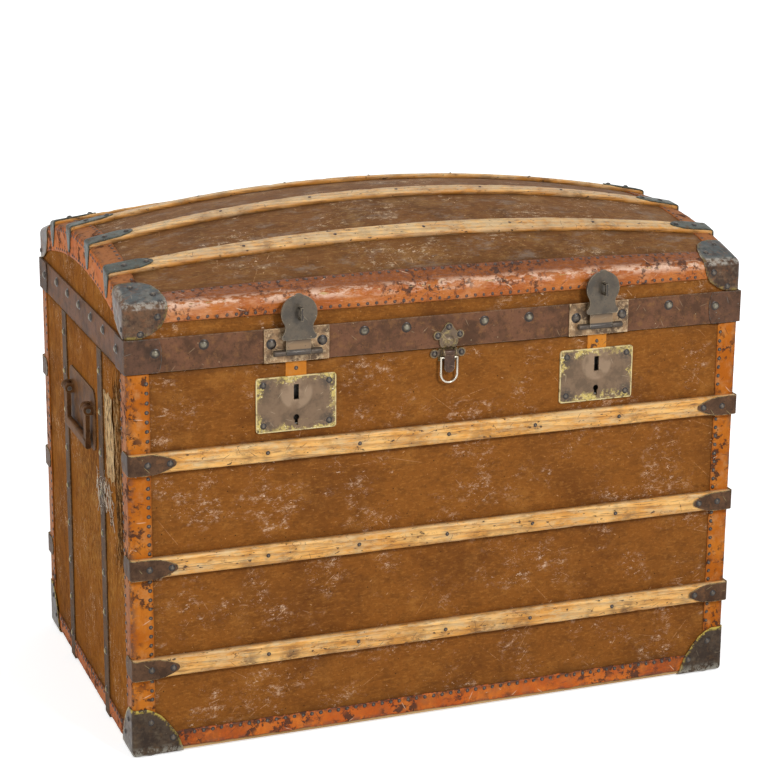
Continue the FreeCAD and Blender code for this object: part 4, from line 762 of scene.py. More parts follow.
def wander(point, size, seed=0.0):
    """Smooth noise between about -1 and 1 that changes over size mm."""
    return noise.noise(Vector(point) / size + Vector((seed, seed * 1.7, seed * 0.6)))


# %% The shape of the dome
def dome_z(x, y):
    """Height of the canvas over a place, from the middle of the box."""
    along = 1 - (x / HALF_L) ** 2
    across = 1 - (y / HALF_D) ** 2
    return EDGE_Z + across * (RISE_END + (RISE_MIDDLE - RISE_END) * along)


print("dome at its middle:", round(dome_z(0, 0), 1), "mm")

# %% [markdown]
# ## Folding a flat skin into place
# Canvas and fibre are cut flat and folded round the box, so the script does the same: it makes a
# flat grid, and a place function says where each point of the grid ends up. Points are then
# pushed a little by smooth noise, because no old skin is perfectly flat.

# %% A folded skin
def folded(bm, columns, rows, place, grime_and_shade=None, fold=None, flip=False):
    """Adds a grid whose point (u, v), both 0 to 1, is moved to place(u, v)."""
    grime_layer = bm.verts.layers.float.get("grime_and_shade") or bm.verts.layers.float.new("grime_and_shade")
    fold_layer = bm.verts.layers.float.get("fold") or bm.verts.layers.float.new("fold")
    made = bmesh.ops.create_grid(bm, x_segments=columns, y_segments=rows, size=1.0)["verts"]
    for vert in made:
        u = (vert.co.x + 1) / 2
        v = (vert.co.y + 1) / 2
        vert.co = Vector(place(u, v))
        if grime_and_shade:
            vert[grime_layer] = grime_and_shade(vert.co, u, v)
        if fold:
            vert[fold_layer] = fold(u, v)
    if flip:
        bmesh.ops.reverse_faces(bm, faces=list({f for v in made for f in v.link_faces}))


# %% [markdown]
# ## Canvas of the body
# Four walls of one wrap. Each is a fine grid that hollows a fraction of a millimetre between the
# slats, where the glue has let go a little. Dirt and painted shade are strongest beside the slats,
# straps and strips, and one long tear on the left end lets the dark board show. Behind each lock
# plate the canvas is cut away, so that the keyhole and the slot look into the lock.

# %% Body canvas
def grime_and_shade_long_wall(co, u, v):
    """Dirt and painted shade beside the slats, below the mouth, over the foot strip and beside the corner
    strips.
    """
    value = max(near(co.z, z - 13, z + 13, 12) for z in SLAT_MIDDLES)
    value = max(value, near(co.z, BODY_TOP - 2, BODY_TOP + 9, 12), near(co.z, BASE, FOOT_TOP, 20))
    value = max(value, near(-abs(co.x), -HALF_L, -HALF_L + FIBRE_LEG, 10))
    patchy = 0.5 + 0.7 * wander(co, 24, 3)
    return max(0.0, min(1.0, 0.7 * value * value * patchy))


def grime_and_shade_end_wall(co, u, v):
    """The same beside the straps, and the long tear at the front of the left end."""
    value = max(near(abs(co.y), STRAP_Y - 12, STRAP_Y + 12, 14),
                near(-abs(co.y), -HALF_D, -HALF_D + FIBRE_LEG, 14))
    value = max(value, near(co.z, BODY_TOP - 2, BODY_TOP + 9, 20), near(co.z, BASE, FOOT_TOP, 24))
    patchy = 0.5 + 0.8 * wander(co, 30, 8)
    tear = near(co.y, -204, -190, 7) * near(co.z, 306, 366, 26) if co.x < 0 else 0.0
    return max(0.0, min(1.0, max(0.75 * value * value * patchy, 1.4 * tear)))


def torn_end_wall(co):
    """Frayed canvas beside the front corner of the left end, and rubbed canvas under its handle."""
    beside_corner = near(co.y, -HALF_D + 30, -HALF_D + 62, 12) * near(co.z, 210, 480, 30)
    under_handle = near(co.y, -150, 30, 40) * near(co.z, 190, 330, 50)
    return max(beside_corner, 0.8 * under_handle) * (co.x < 0)


def body_walls(ends):
    """The two end walls or the two long walls, each a grid that sags between its edges."""
    bm = bmesh.new()
    tall = BODY_TOP - SKIN_LOW
    for side in (-1, 1):
        def long_wall(u, v, side=side):
            x = (u * 2 - 1) * HALF_L
            z = SKIN_LOW + v * tall
            sag = 0.45 * (0.5 + 0.5 * wander((x, side * 300, z), 60)) * math.sin(math.pi * v)
            return (x, side * (HALF_D - sag), z)

        def end_wall(u, v, side=side):
            y = (u * 2 - 1) * HALF_D
            z = SKIN_LOW + v * tall
            sag = 0.6 * (0.5 + 0.5 * wander((side * 400, y, z), 50)) * math.sin(math.pi * v)
            return (side * (HALF_L - sag), y, z)

        if ends:
            folded(bm, 84, 84, end_wall, grime_and_shade_end_wall, flip=side < 0)
            torn = bm.verts.layers.float.get("torn") or bm.verts.layers.float.new("torn")
            for vert in bm.verts:
                vert[torn] = torn_end_wall(vert.co)
        else:
            folded(bm, 108, 64, long_wall, grime_and_shade_long_wall, flip=side > 0)
    return bm


CUT_HALF_LENGTH = 38
CUT_HALF_HEIGHT = 31


def cut_behind_locks(bm):
    """Takes the small squares of canvas behind both lock plates away."""
    hidden = []
    for face in bm.faces:
        middle = face.calc_center_median()
        sideways = abs(abs(middle.x - LOCKS_MIDDLE) - LOCKS_APART)
        if middle.y < 0 and sideways < CUT_HALF_LENGTH and abs(middle.z - LOCK_Z) < CUT_HALF_HEIGHT:
            hidden.append(face)
    bmesh.ops.delete(bm, geom=hidden, context="FACES")
    print("canvas faces cut away behind the locks:", len(hidden))
    return bm


finish_piece("body_canvas_long", cut_behind_locks(body_walls(False)), canvas_paint, "base", ["body_canvas"],
             1.0)
finish_piece("body_canvas_ends", body_walls(True), end_paint, "base", ["body_canvas"], 1.0)

# %% [markdown]
# ## Canvas of the lid
# The dome is a grid over the whole plan, raised by the dome's own formula. The front, back and
# the two arched ends are separate cuts of canvas below it, each a grid as well. Both stop a few
# millimetres short of the long edges, where the fibre is rolled round the wood.

# %% Lid canvas
EDGE_GAP = 5.0


def grime_and_shade_dome(co, u, v):
    """Dirt and painted shade beside the slats of the dome and along all four edges."""
    value = max(near(co.y, y - 13, y + 13, 13) for y in DOME_SLATS_Y)
    value = max(value, near(-abs(co.y), -HALF_D, -HALF_D + 26, 16),
                near(-abs(co.x), -HALF_L, -HALF_L + FIBRE_LEG, 12))
    patchy = 0.5 + 0.9 * wander(co, 36, 5)
    return max(0.0, min(1.0, 0.75 * value * value * patchy))


def grime_and_shade_lid_wall(co, u, v):
    """Dirt and painted shade just over the band, and under the edge strip in front and at the back."""
    value = near(co.z, LID_BOTTOM, BAND_TOP, 9)
    if abs(co.y) > HALF_D - 5:
        value = max(value, near(co.z, EDGE_Z - 22, EDGE_Z + 200, 7))
    return max(0.0, 0.6 * value * (0.6 + 0.6 * wander(co, 25, 2)))


def lid_dome_skin():
    bm = bmesh.new()

    def dome(u, v):
        x = (u * 2 - 1) * HALF_L
        y = (v * 2 - 1) * (HALF_D - EDGE_GAP)
        hollow = 0.6 * (0.5 + 0.5 * wander((x, y, 700), 55)) * math.sin(math.pi * v) * math.sin(math.pi * u)
        return (x, y, dome_z(x, y) - hollow)

    folded(bm, 120, 84, dome, grime_and_shade_dome)
    return bm


def lid_walls(ends):
    bm = bmesh.new()
    for side in (-1, 1):
        def long_wall(u, v, side=side):
            x = (u * 2 - 1) * (HALF_L - 3)
            z = LID_BOTTOM + v * (EDGE_Z - EDGE_GAP - LID_BOTTOM)
            return (x, side * (HALF_D - 0.3 * (0.5 + 0.5 * wander((x, side, z), 40))), z)

        def end_wall(u, v, side=side):
            y = (u * 2 - 1) * (HALF_D - 3)
            z = LID_BOTTOM + v * (dome_z(HALF_L, y) - LID_BOTTOM)
            return (side * (HALF_L - 0.4 * (0.5 + 0.5 * wander((side, y, z), 45))), y, z)

        if ends:
            folded(bm, 60, 16, end_wall, grime_and_shade_lid_wall, flip=side < 0)
        else:
            folded(bm, 100, 12, long_wall, grime_and_shade_lid_wall, flip=side > 0)
    return bm


finish_piece("lid_canvas_dome", lid_dome_skin(), shaded_dome_paint, "lid", ["lid_canvas"], 1.0)
finish_piece("lid_canvas_long", lid_walls(False), canvas_paint, "lid", ["lid_canvas"], 1.0)
finish_piece("lid_canvas_ends", lid_walls(True), end_paint, "lid", ["lid_canvas"], 1.0)

# %% [markdown]
# ## Corner strips of fibre
# An angle strip runs down each upright corner. Its section is a flat leg, a rounded corner of
# 4 mm radius and another flat leg, walked along by a helper that works for every folded strip.

# %% Walking round a corner
def round_fold(across, leg_a, leg_b, radius):
    """Where a point lies on a strip folded at a right angle: (along a, along b, normal a, normal b).

    Leg a runs towards the corner, leg b away from it; both distances count back from the corner.
    """
    arc = math.pi / 2 * radius
    flat_a = leg_a - radius
    flat_b = leg_b - radius
    s = across * (flat_a + arc + flat_b)
    if s < flat_a:
        return leg_a - s, 0.0, 0.0, 1.0
    if s > flat_a + arc:
        return 0.0, radius + (s - flat_a - arc), 1.0, 0.0
    turn = (s - flat_a) / radius
    return radius - radius * math.sin(turn), radius - radius * math.cos(turn), math.sin(turn), math.cos(turn)


def fold_wear_and_highlight(leg_a, leg_b, radius, amount=1.0):
    """A weight that is highest at the fold of the strip and 0 some 9 mm from it."""
    total = leg_a + leg_b - 2 * radius + math.pi / 2 * radius
    middle = (leg_a - radius + math.pi / 4 * radius) / total

    def wear(u, v):
        return amount * max(0.0, 1.0 - abs(v - middle) * total / 9.0)
    return wear


# %% Corner strips
CORNER_FOLD = (30.0, 30.0, 4.0)


def corner_strips():
    bm = bmesh.new()
    tall = BODY_TOP - SKIN_LOW
    for sx in (-1, 1):
        for sy in (-1, 1):
            seed = 3 * sx + 7 * sy

            def strip(u, v, sx=sx, sy=sy, seed=seed):
                z = SKIN_LOW + u * tall
                a, b, na, nb = round_fold(v, *CORNER_FOLD)
                ragged = 0.7 * wander((0, 0, z), 9, seed) * (1 if v < 0.02 else -1 if v > 0.98 else 0)
                lump = 0.16 * wander((v * 60, seed, z), 11, seed) - 0.25 * (v < 0.02 or v > 0.98)
                lump -= 0.6 * near(z, BASE, BASE + 58, 8)
                x = HALF_L + FIBRE_THICK - a + na * lump + (ragged if v < 0.5 else 0)
                y = HALF_D + FIBRE_THICK - b + nb * lump + (ragged if v > 0.5 else 0)
                return (sx * x, sy * y, z)

            def side_leg_shade_and_edge_dirt(co, u, v):
                """The leg on the end wall is darker all over as painted shade; both legs get dirt along their
                free edge.
                """
                return 0.6 if v > 0.55 else 0.5 * max(0.0, 1 - v * 16)

            folded(bm, 100, 24, strip, side_leg_shade_and_edge_dirt, fold_wear_and_highlight(*CORNER_FOLD, 0.75), flip=sx * sy < 0)
    return bm


finish_piece("corner_fibre_strips", corner_strips(), corner_fibre, "base", ["corner_fibre"], 1.4)

# %% [markdown]
# ## Foot strips of fibre
# Flat strips along the bottom. They take the most knocks, so their upper edge is ragged, and the
# pale edge of the bottom board shows below them.

# %% Foot strips
def foot_strips(ends):
    """Both strips along the ends, or both along the front and the back."""
    bm = bmesh.new()
    reach = (HALF_D if ends else HALF_L) - STRIP_END
    for side in (-1, 1):

        def strip(u, v, side=side):
            t = (u * 2 - 1) * reach
            ragged = 1.6 * wander((t, side, 0), 12, 4) + 1.0 * wander((t, side, 0), 4, 9)
            z = SKIN_LOW + v * FOOT_WIDE + ragged * (0.8 if v > 0.99 else 0.5 if v < 0.01 else 0)
            under_cap = near(-abs(t), -reach - 9, -reach + 36, 6)
            out = FIBRE_THICK + 0.3 * wander((t, z, side), 12, 6) - 0.5 * (v > 0.99) - 0.6 * under_cap
            if ends:
                return (side * (HALF_L + out), t, z)
            return (t, side * (HALF_D + out), z)

        def dirt_and_shade(co, u, v):
            """Dark along the upper edge and near the caps at both ends."""
            by_cap = 0.0 if ends else near(-abs(co.x), -HALF_L, -HALF_L + 100, 60)
            patchy = max(0.0, wander(co, 40, 1))
            return min(1.0, 0.95 * max(0.0, v - 0.72) / 0.28 + 0.4 * by_cap + 0.4 * patchy)

        flip = side < 0 if ends else side > 0
        folded(bm, 160, 9, strip, dirt_and_shade, lambda u, v: 0.5 if v < 0.2 else 0.1, flip=flip)
    return bm


finish_piece("foot_fibre_long", foot_strips(False), foot_fibre, "base", ["bottom_fibre"], 1.4)
finish_piece("foot_fibre_ends", foot_strips(True), end_fibre, "base", ["bottom_fibre"], 1.4)

# %% [markdown]
# ## Fibre along the lid's edges
# The strip over the front edge of the lid is rolled over a rounded fold, and a century of arms
# leaning on it has polished and wrinkled it. The wrinkles are real dents in the mesh, some of
# them crossing the fold, so that the light breaks on them; along the fold a pale colour is a
# painted highlight. The arched ends have a strip of the same kind, with a tighter fold.

# %% Edge strips of the lid
EDGE_FOLD = (23.5, 27.0, 8.0)
END_FOLD = (37.5, 30.0, 5.0)


def lid_edge_strips():
    bm = bmesh.new()
    reach = HALF_L - STRIP_END
    for side in (-1, 1):
        def strip(u, v, side=side):
            x = (u * 2 - 1) * reach
            a, b, na, nb = round_fold(v, *EDGE_FOLD)
            rise = dome_z(x, HALF_D - max(0.0, b - FIBRE_THICK)) - EDGE_Z
            wrinkle = 0.9 * wander((x, v * 40, side), 16, 2) + 0.6 * wander((x * 1.6, v * 30, side), 7, 5)
            crease = -1.5 * max(0.0, wander((x * 1.4 + v * 25, v * 14, side), 12, 7) - 0.2)
            push = (wrinkle + crease) * (0.3 + 0.7 * (1 - abs(v - 0.5) * 2))
            push *= 1 - near(-abs(x), -HALF_L, -HALF_L + 52, 8)
            push -= 0.3 * near(-abs(x), -HALF_L, -HALF_L + 48, 6)
            edge = -0.3 * (v < 0.02 or v > 0.98)
            ragged = 0.6 * wander((x, side, 0), 8, 3)
            y = HALF_D + FIBRE_THICK - b + nb * (push + edge) + (ragged if v > 0.98 else 0)
            z = EDGE_Z + FIBRE_THICK - a + na * (push + edge) + rise + (ragged if v < 0.02 else 0)
            return (x, side * y, z)

        def dirt_and_shade(co, u, v):
            """Dark over the top leg and its nail row, and along both free edges."""
            rims = max(0.0, v - 0.84) / 0.16 + max(0.0, 0.1 - v) / 0.1
            return min(1.0, 0.7 * near(v, 0.62, 1.0, 0.12) + 0.4 * rims)

        folded(bm, 320, 26, strip, dirt_and_shade, fold_wear_and_highlight(*EDGE_FOLD, 0.8), flip=side > 0)
    return bm


def lid_end_strips():
    bm = bmesh.new()
    for side in (-1, 1):
        def strip(u, v, side=side):
            y = (u * 2 - 1) * (HALF_D - 10)
            a, b, na, nb = round_fold(v, *END_FOLD)
            rise = dome_z(HALF_L - max(0.0, b - FIBRE_THICK), y) - EDGE_Z
            lump = 0.35 * wander((side * 9, y, v * 50), 12, 3) - 0.3 * (v < 0.02 or v > 0.98)
            ragged = 0.8 * wander((side, y, 0), 7, 6)
            x = HALF_L + FIBRE_THICK - b + nb * lump + (ragged if v > 0.98 else 0)
            z = EDGE_Z + FIBRE_THICK - a + na * lump + rise + (ragged if v < 0.02 else 0)
            return (side * x, y, z)

        folded(bm, 120, 24, strip, lambda co, u, v: 0.5 * max(0.0, v - 0.85) / 0.15,
               fold_wear_and_highlight(*END_FOLD, 0.8), flip=side < 0)
    return bm


finish_piece("lid_edge_strips", lid_edge_strips(), edge_fibre, "lid", ["lid_edge_fibre"], 1.4)
finish_piece("lid_end_strips", lid_end_strips(), end_fibre, "lid", ["lid_end_fibre"], 1.4)

# %% [markdown]
# ## Wooden slats
# Each slat starts as a cube, scaled to size. Its long outer edges are rounded by a bevel, and it
# is cut along its length so that it can be worn a little uneven, nicked along its edges, or bent
# over the dome.

# %% Slats
def slat_bar(length, wide, thick, round_edge, cuts):
    """A bar along X with two rounded outer edges, its inner side at height 0."""
    bm = bmesh.new()
    for vert in bmesh.ops.create_cube(bm, size=1.0)["verts"]:
        vert.co = Vector((vert.co.x * length, vert.co.y * wide, (vert.co.z + 0.5) * thick))
    outer = [e for e in bm.edges if min(v.co.z for v in e.verts) > thick - 0.01
             and abs(e.verts[0].co.x - e.verts[1].co.x) > 1]
    bmesh.ops.bevel(bm, geom=outer, offset=round_edge, segments=3, profile=0.5, affect="EDGES", material=-1)
    along = [e for e in bm.edges if abs(e.verts[0].co.x - e.verts[1].co.x) > 1]
    bmesh.ops.subdivide_edges(bm, edges=along, cuts=cuts, use_grid_fill=True)
    return bm


def join_meshes(whole, bm):
    """Moves all of one bmesh into another and returns the new points."""
    scratch = bpy.data.meshes.new("one of a set")
    bm.to_mesh(scratch)
    bm.free()
    first = len(whole.verts)
    whole.from_mesh(scratch)
    bpy.data.meshes.remove(scratch)
    whole.verts.ensure_lookup_table()
    return whole.verts[first:]


def make_slats(places, length, wide, thick, round_edge, cuts):
    """All slats of one face in one bmesh; each place function puts (x, across, out) on the trunk."""
    whole = bmesh.new()
    layer = whole.verts.layers.float.new("grime_and_shade")
    for number, place in enumerate(places):
        for vert in join_meshes(whole, slat_bar(length, wide, thick, round_edge, cuts)):
            x, across, out = vert.co
            worn = 0.35 * wander((x, across * 3, out), 22, number) + 0.25 * wander((x, across * 3, out), 7, 4)
            if out > 1:
                nick = max(0.0, wander((x, across * 2, number * 50), 7, 12) - 0.42) * 3.5
                out = min(thick, out + worn - 0.1 - nick)
                across += 0.4 * wander((x, number, 0), 30, 2) + 0.3 * worn - math.copysign(nick * 0.5, across)
            stain = max(near(x, n, n, 7) for n in SLAT_NAILS_X)
            lower_edge = (0.8 if number == len(places) - 1 else 0.5) if across < -6 else 0.2
            vert[layer] = 0.8 * stain * stain + lower_edge * max(0.0, 2.2 * wander((x, across, out), 26, 8))
            vert.co = Vector(place(x, across, out))
    bmesh.ops.recalc_face_normals(whole, faces=whole.faces)
    return whole


SLAT_NAILS_X = (-250.0, -125.0, 0.0, 125.0, 250.0)
SLAT_LENGTH = (HALF_L + 1.0) * 2


def wall_slats(side):
    """Three slats on the front (-1) or the back (1)."""
    places = [lambda x, across, out, middle=middle: (x, side * (HALF_D + out), middle + across)
              for middle in SLAT_MIDDLES]
    return make_slats(places, SLAT_LENGTH, SLAT_WIDE, SLAT_THICK, 3.4, 110)


def dome_slats():
    places = [lambda x, across, out, y=y: (x, y + across, dome_z(x, y + across) + out) for y in DOME_SLATS_Y]
    return make_slats(places, SLAT_LENGTH, DOME_SLAT_WIDE, DOME_SLAT_THICK, 2.4, 110)


finish_piece("front_slat_set", wall_slats(-1), front_ash, "base", ["front_slats"])
finish_piece("back_slat_set", wall_slats(1), front_ash, "base", ["back_slats"])
finish_piece("dome_slat_set", dome_slats(), dome_ash, "lid", ["lid_slats"])

# %% [markdown]
# ## Clamps of the dome
# Each is one strip of iron: a round ended tongue on the slat, a bend hammered round the end of the
# lid, and a leg that narrows to a point. It is a grid whose width follows the outline, laid along
# that path, so the bend is a true round one and the strip can be dented a little.

# %% Clamps of the dome
CAP_OUT = 3.0
CLAMP_TIP = 59.5
CLAMP_LEG = 38.0
BEND = 4.5
CLAMP_HALF = 11.5
CLAMP_LIFT = DOME_SLAT_THICK + 1.5


def clamp_outline(along):
    """Half the width of the strip at that distance from its tip."""
    whole = CLAMP_TIP + CAP_OUT + CLAMP_LEG
    if along < 20:
        return CLAMP_HALF * math.sqrt(max(0.012, 1 - (1 - along / 20) ** 2)) * (0.72 + 0.28 * along / 20)
    from_end = whole - along
    if from_end < 25:
        return 3.2 + (CLAMP_HALF - 3.2) * from_end / 25 - 2.2 * max(0.0, 1 - from_end / 3)
    return CLAMP_HALF


def dome_clamps():
    """A clamp over both ends of each slat of the dome."""
    bm = bmesh.new()
    straight = CLAMP_TIP + CAP_OUT - BEND
    arc = BEND * math.pi / 2
    whole = straight + arc + CLAMP_LEG - BEND
    for side in (-1, 1):
        for number, slat_y in enumerate(DOME_SLATS_Y):
            seed = number * 3 + side

            def strip(u, v, side=side, slat_y=slat_y, seed=seed):
                along = u * whole
                half = clamp_outline(u * (CLAMP_TIP + CAP_OUT + CLAMP_LEG))
                y = slat_y + (v * 2 - 1) * half
                dent = -0.3 * abs(wander((along, v * 20, 0), 9, seed))
                end = HALF_L + CAP_OUT
                if along < straight:
                    x = end - BEND - (straight - along)
                    return (side * x, y, dome_z(min(x, HALF_L), y) + CLAMP_LIFT + dent)
                turn = min(along - straight, arc) / BEND
                drop = max(0.0, along - straight - arc)
                crown = dome_z(HALF_L, y) + CLAMP_LIFT
                x = end - BEND + (BEND + dent) * math.sin(turn)
                return (side * x, y, crown - BEND + (BEND + dent) * math.cos(turn) - drop)

            folded(bm, 60, 10, strip, flip=side < 0)
    return bm


finish_piece("dome_clamps", dome_clamps(), dome_clamp_iron, "lid", ["lid_slat_clamps"], 1.5)

# %% [markdown]
# ## Corner caps
# A cap is pressed from sheet iron: three faces that meet in a rounded corner. It starts as a cube
# with three faces taken away and cut into small squares. Every point near an edge is drawn in to
# the surface of a rounded box, and planes then trim the outline, one short cut after another along
# each curve. The lid's caps are first pushed up by the dome's own rise. The points on the trimmed
# rim are marked, because the rim is where lacquer wears off first.

# %% Pressed caps
def rounded_corner(size, radius, cuts):
    """Three faces of a box towards -X, -Y and +Z, with its corner at the origin, rounded."""
    bm = bmesh.new()
    for vert in bmesh.ops.create_cube(bm, size=1.0)["verts"]:
        vert.co = Vector(((vert.co.x + 0.5) * size[0], (vert.co.y + 0.5) * size[1],
                          (vert.co.z - 0.5) * size[2]))
    bm.normal_update()
    away = [f for f in bm.faces if f.normal.x > 0.5 or f.normal.y > 0.5 or f.normal.z < -0.5]
    bmesh.ops.delete(bm, geom=away, context="FACES")
    bmesh.ops.subdivide_edges(bm, edges=bm.edges[:], cuts=cuts, use_grid_fill=True)
    for vert in bm.verts:
        core = Vector((max(vert.co.x, radius), max(vert.co.y, radius), min(vert.co.z, -radius)))
        out = vert.co - core
        if out.length > 1e-6:
            vert.co = core + out.normalized() * radius
    return bm


def trim(bm, point, normal):
    """Cuts off everything beyond a plane."""
    bmesh.ops.bisect_plane(bm, geom=bm.verts[:] + bm.edges[:] + bm.faces[:], plane_co=point, plane_no=normal,
                           clear_outer=True)


def trim_outline(bm, points, across, up, low=0.0):
    """Trims along a bulging outline; each point is (distance from the corner, height over low)."""
    across = Vector(across)
    up = Vector(up)
    for (d0, h0), (d1, h1) in zip(points, points[1:]):
        trim(bm, across * d0 + up * (h0 + low), across * (h1 - h0) - up * (d1 - d0))


def place_caps(name, shell, finish, body, replaced, shape, seeds):
    """Four copies of a shell in the corners; shape(point, seed) gives its place from the middle."""
    rim_layer = shell.verts.layers.float.new("rim")
    for vert in shell.verts:
        by_rim = any(edge.other_vert(vert).is_boundary for edge in vert.link_edges)
        share = 1.0 if abs(vert.co.z) > 38 else 0.5
        vert[rim_layer] = share if vert.is_boundary else 0.85 * share if by_rim else 0.0
    whole = bmesh.new()
    whole.verts.layers.float.new("rim")
    for sx in (-1, 1):
        for sy in (-1, 1):
            placed = join_meshes(whole, shell.copy())
            for vert in placed:
                x, y, z = shape(vert.co, seeds * sx + sy)
                vert.co = Vector((sx * x, sy * y, z))
            if sx * sy < 0:
                bmesh.ops.reverse_faces(whole, faces=list({f for v in placed for f in v.link_faces}))
    shell.free()
    return finish_piece(name, whole, finish, body, replaced, 1.5)


# %% Caps of the lid
LID_CAP_LOW = -43.0


def lid_cap_shell():
    bm = rounded_corner((57.0, 57.0, 64.0), 9.5, 24)
    for vert in bm.verts:
        x = min(HALF_L, HALF_L + CAP_OUT - vert.co.x)
        y = min(HALF_D, HALF_D + CAP_OUT - vert.co.y)
        vert.co.z += dome_z(x, y) - EDGE_Z
    trim(bm, (0, 0, LID_CAP_LOW), (0, 0, -1))
    trim_outline(bm, [(22, 0), (35, 5), (48, 14), (54, 25), (57, 37)], (1, 0, 0), (0, 0, 1), LID_CAP_LOW)
    trim_outline(bm, [(10, 0), (30, 6), (46, 16), (53, 28), (57, 42)], (0, 1, 0), (0, 0, 1), LID_CAP_LOW)
    trim_outline(bm, [(57, 14), (53, 31), (46, 44), (36, 52), (23, 57)], (1, 0, 0), (0, 1, 0))
    return bm


def lid_cap_shape(co, seed):
    """Where a point of the shell lies from the middle, with small dents."""
    dent = 0.45 * abs(wander(co, 14, seed)) + 0.2 * abs(wander(co, 6, seed))
    return (HALF_L + CAP_OUT - co.x + dent * 0.5, HALF_D + CAP_OUT - co.y + dent * 0.5,
            EDGE_Z + CAP_OUT + co.z + dent * 0.4)


place_caps("lid_corner_caps", lid_cap_shell(), lid_cap_iron, "lid", ["lid_caps"], lid_cap_shape, 5)


# %% Caps of the foot
def foot_cap_shell():
    bm = rounded_corner((69.0, 57.0, 66.5), 5.0, 24)
    trim_outline(bm, [(69, 0), (65.7, 12), (60, 27), (48.5, 43.5), (39, 55), (29, 62), (20, 66.5)],
                 (1, 0, 0), (0, 0, -1))
    trim_outline(bm, [(57, 0), (53, 15.5), (47, 30), (40, 43), (31, 55), (23, 63), (17, 66.5)],
                 (0, 1, 0), (0, 0, -1))
    trim_outline(bm, [(69, 10), (52, 40), (20, 57)], (1, 0, 0), (0, 1, 0))
    bmesh.ops.reverse_faces(bm, faces=bm.faces[:])
    return bm


def foot_cap_shape(co, seed):
    dent = 0.5 * abs(wander(co, 13, seed)) + 0.25 * abs(wander(co, 5, seed))
    return (HALF_L + CAP_OUT - co.x + dent * 0.5, HALF_D + CAP_OUT - co.y + dent * 0.5, BASE - 1.5 - co.z)


place_caps("foot_corner_caps", foot_cap_shell(), foot_cap_iron, "base", ["bottom_caps"], foot_cap_shape, 8)

# %% [markdown]
# ## Rivets and nails
# The frame already holds every head at its exact place: each is a small closed island in a node's
# mesh, with one flat side. Reading the islands gives the place, the direction, the radius and the
# height of each head. The new heads have a few dozen faces, sit a hair askew, and vary in height,
# as hammered heads do.

# %% Reading the heads from the frame
def read_heads(node):
    """(middle of the flat side, outward direction, radius, height) of each head, in metres."""
    bm = bmesh.new()
    bm.from_mesh(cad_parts[node].data)
    bmesh.ops.remove_doubles(bm, verts=bm.verts, dist=1e-7)
    seen = set()
    heads = []
    for start in bm.verts:
        if start in seen:
            continue
        island = []
        queue = [start]
        seen.add(start)
        while queue:
            vert = queue.pop()
            island.append(vert)
            for edge in vert.link_edges:
                other = edge.other_vert(vert)
                if other not in seen:
                    seen.add(other)
                    queue.append(other)
        sides = {}
        for face in {f for v in island for f in v.link_faces}:
            key = tuple(round(c, 2) for c in face.normal)
            sides.setdefault(key, []).append(face)
        flat = max(sides.values(), key=lambda faces: sum(f.calc_area() for f in faces))
        area = sum(f.calc_area() for f in flat)
        middle = sum((f.calc_center_median() * f.calc_area() for f in flat), Vector()) / area
        outward = -sum((f.normal * f.calc_area() for f in flat), Vector()).normalized()
        height = max((v.co - middle).dot(outward) for v in island)
        heads.append((middle, outward, math.sqrt(area / math.pi), height))
    bm.free()
    return heads


# %% Making the heads
def domed_head():
    """A domed head of radius 1 and height 1, flat side down, that stores its foot and its crown."""
    bm = bmesh.new()
    bmesh.ops.create_circle(bm, cap_ends=True, segments=10, radius=1.3)
    top = [bm.faces[:][0]]
    for width, rise in ((0.3, 0.10), (0.05, 0.26), (0.15, 0.32), (0.28, 0.22), (0.26, 0.10)):
        bmesh.ops.inset_region(bm, faces=top, thickness=width, use_boundary=True, use_even_offset=True)
        for vert in top[0].verts:
            vert.co.z += rise
    foot = bm.verts.layers.float.new("grime_and_shade")
    crown = bm.verts.layers.float.new("crown")
    # The foot value darkens the foot as dirt and painted shade; the crown value is for a pale crown, wear and
    # a painted highlight.
    for vert in bm.verts:
        vert[foot] = 1.0 if vert.co.z < 0.15 else 0.7 if vert.co.z < 0.4 else 0.0
        vert[crown] = 1.0 if vert.co.z > 0.95 else 0.4 if vert.co.z > 0.85 else 0.0
    return bm


HEAD = domed_head()
HEAD_GAP = 0.00015


def make_heads(name, heads, finish, body, replaced, tilt, worn=1.0):
    """One piece with a new head, tilted by chance, at each place that read_heads found."""
    bm = bmesh.new()
    bm.verts.layers.float.new("grime_and_shade")
    bm.verts.layers.float.new("crown")
    for middle, outward, radius, height in heads:
        lean = Vector([rng.uniform(-tilt, tilt) for _ in range(3)])
        turn = (outward + lean).to_track_quat("Z", "Y").to_matrix().to_4x4()
        tall = (height - HEAD_GAP) * worn * rng.uniform(0.85, 1.0)
        size = Matrix.Diagonal((radius * worn, radius * worn, tall, 1))
        place = TO_FRAME.inverted() @ Matrix.Translation(middle + outward * HEAD_GAP) @ turn @ size
        bmesh.ops.transform(bm, matrix=place, verts=join_meshes(bm, HEAD.copy()))
    return finish_piece(name, bm, finish, body, replaced)


def sorted_heads(node, belongs):
    """The heads of a node that belong to a place, given in mm from the middle, and the others."""
    inside, outside = [], []
    for head in read_heads(node):
        at = TO_FRAME.inverted() @ head[0]
        (inside if belongs(at) else outside).append(head)
    return inside, outside


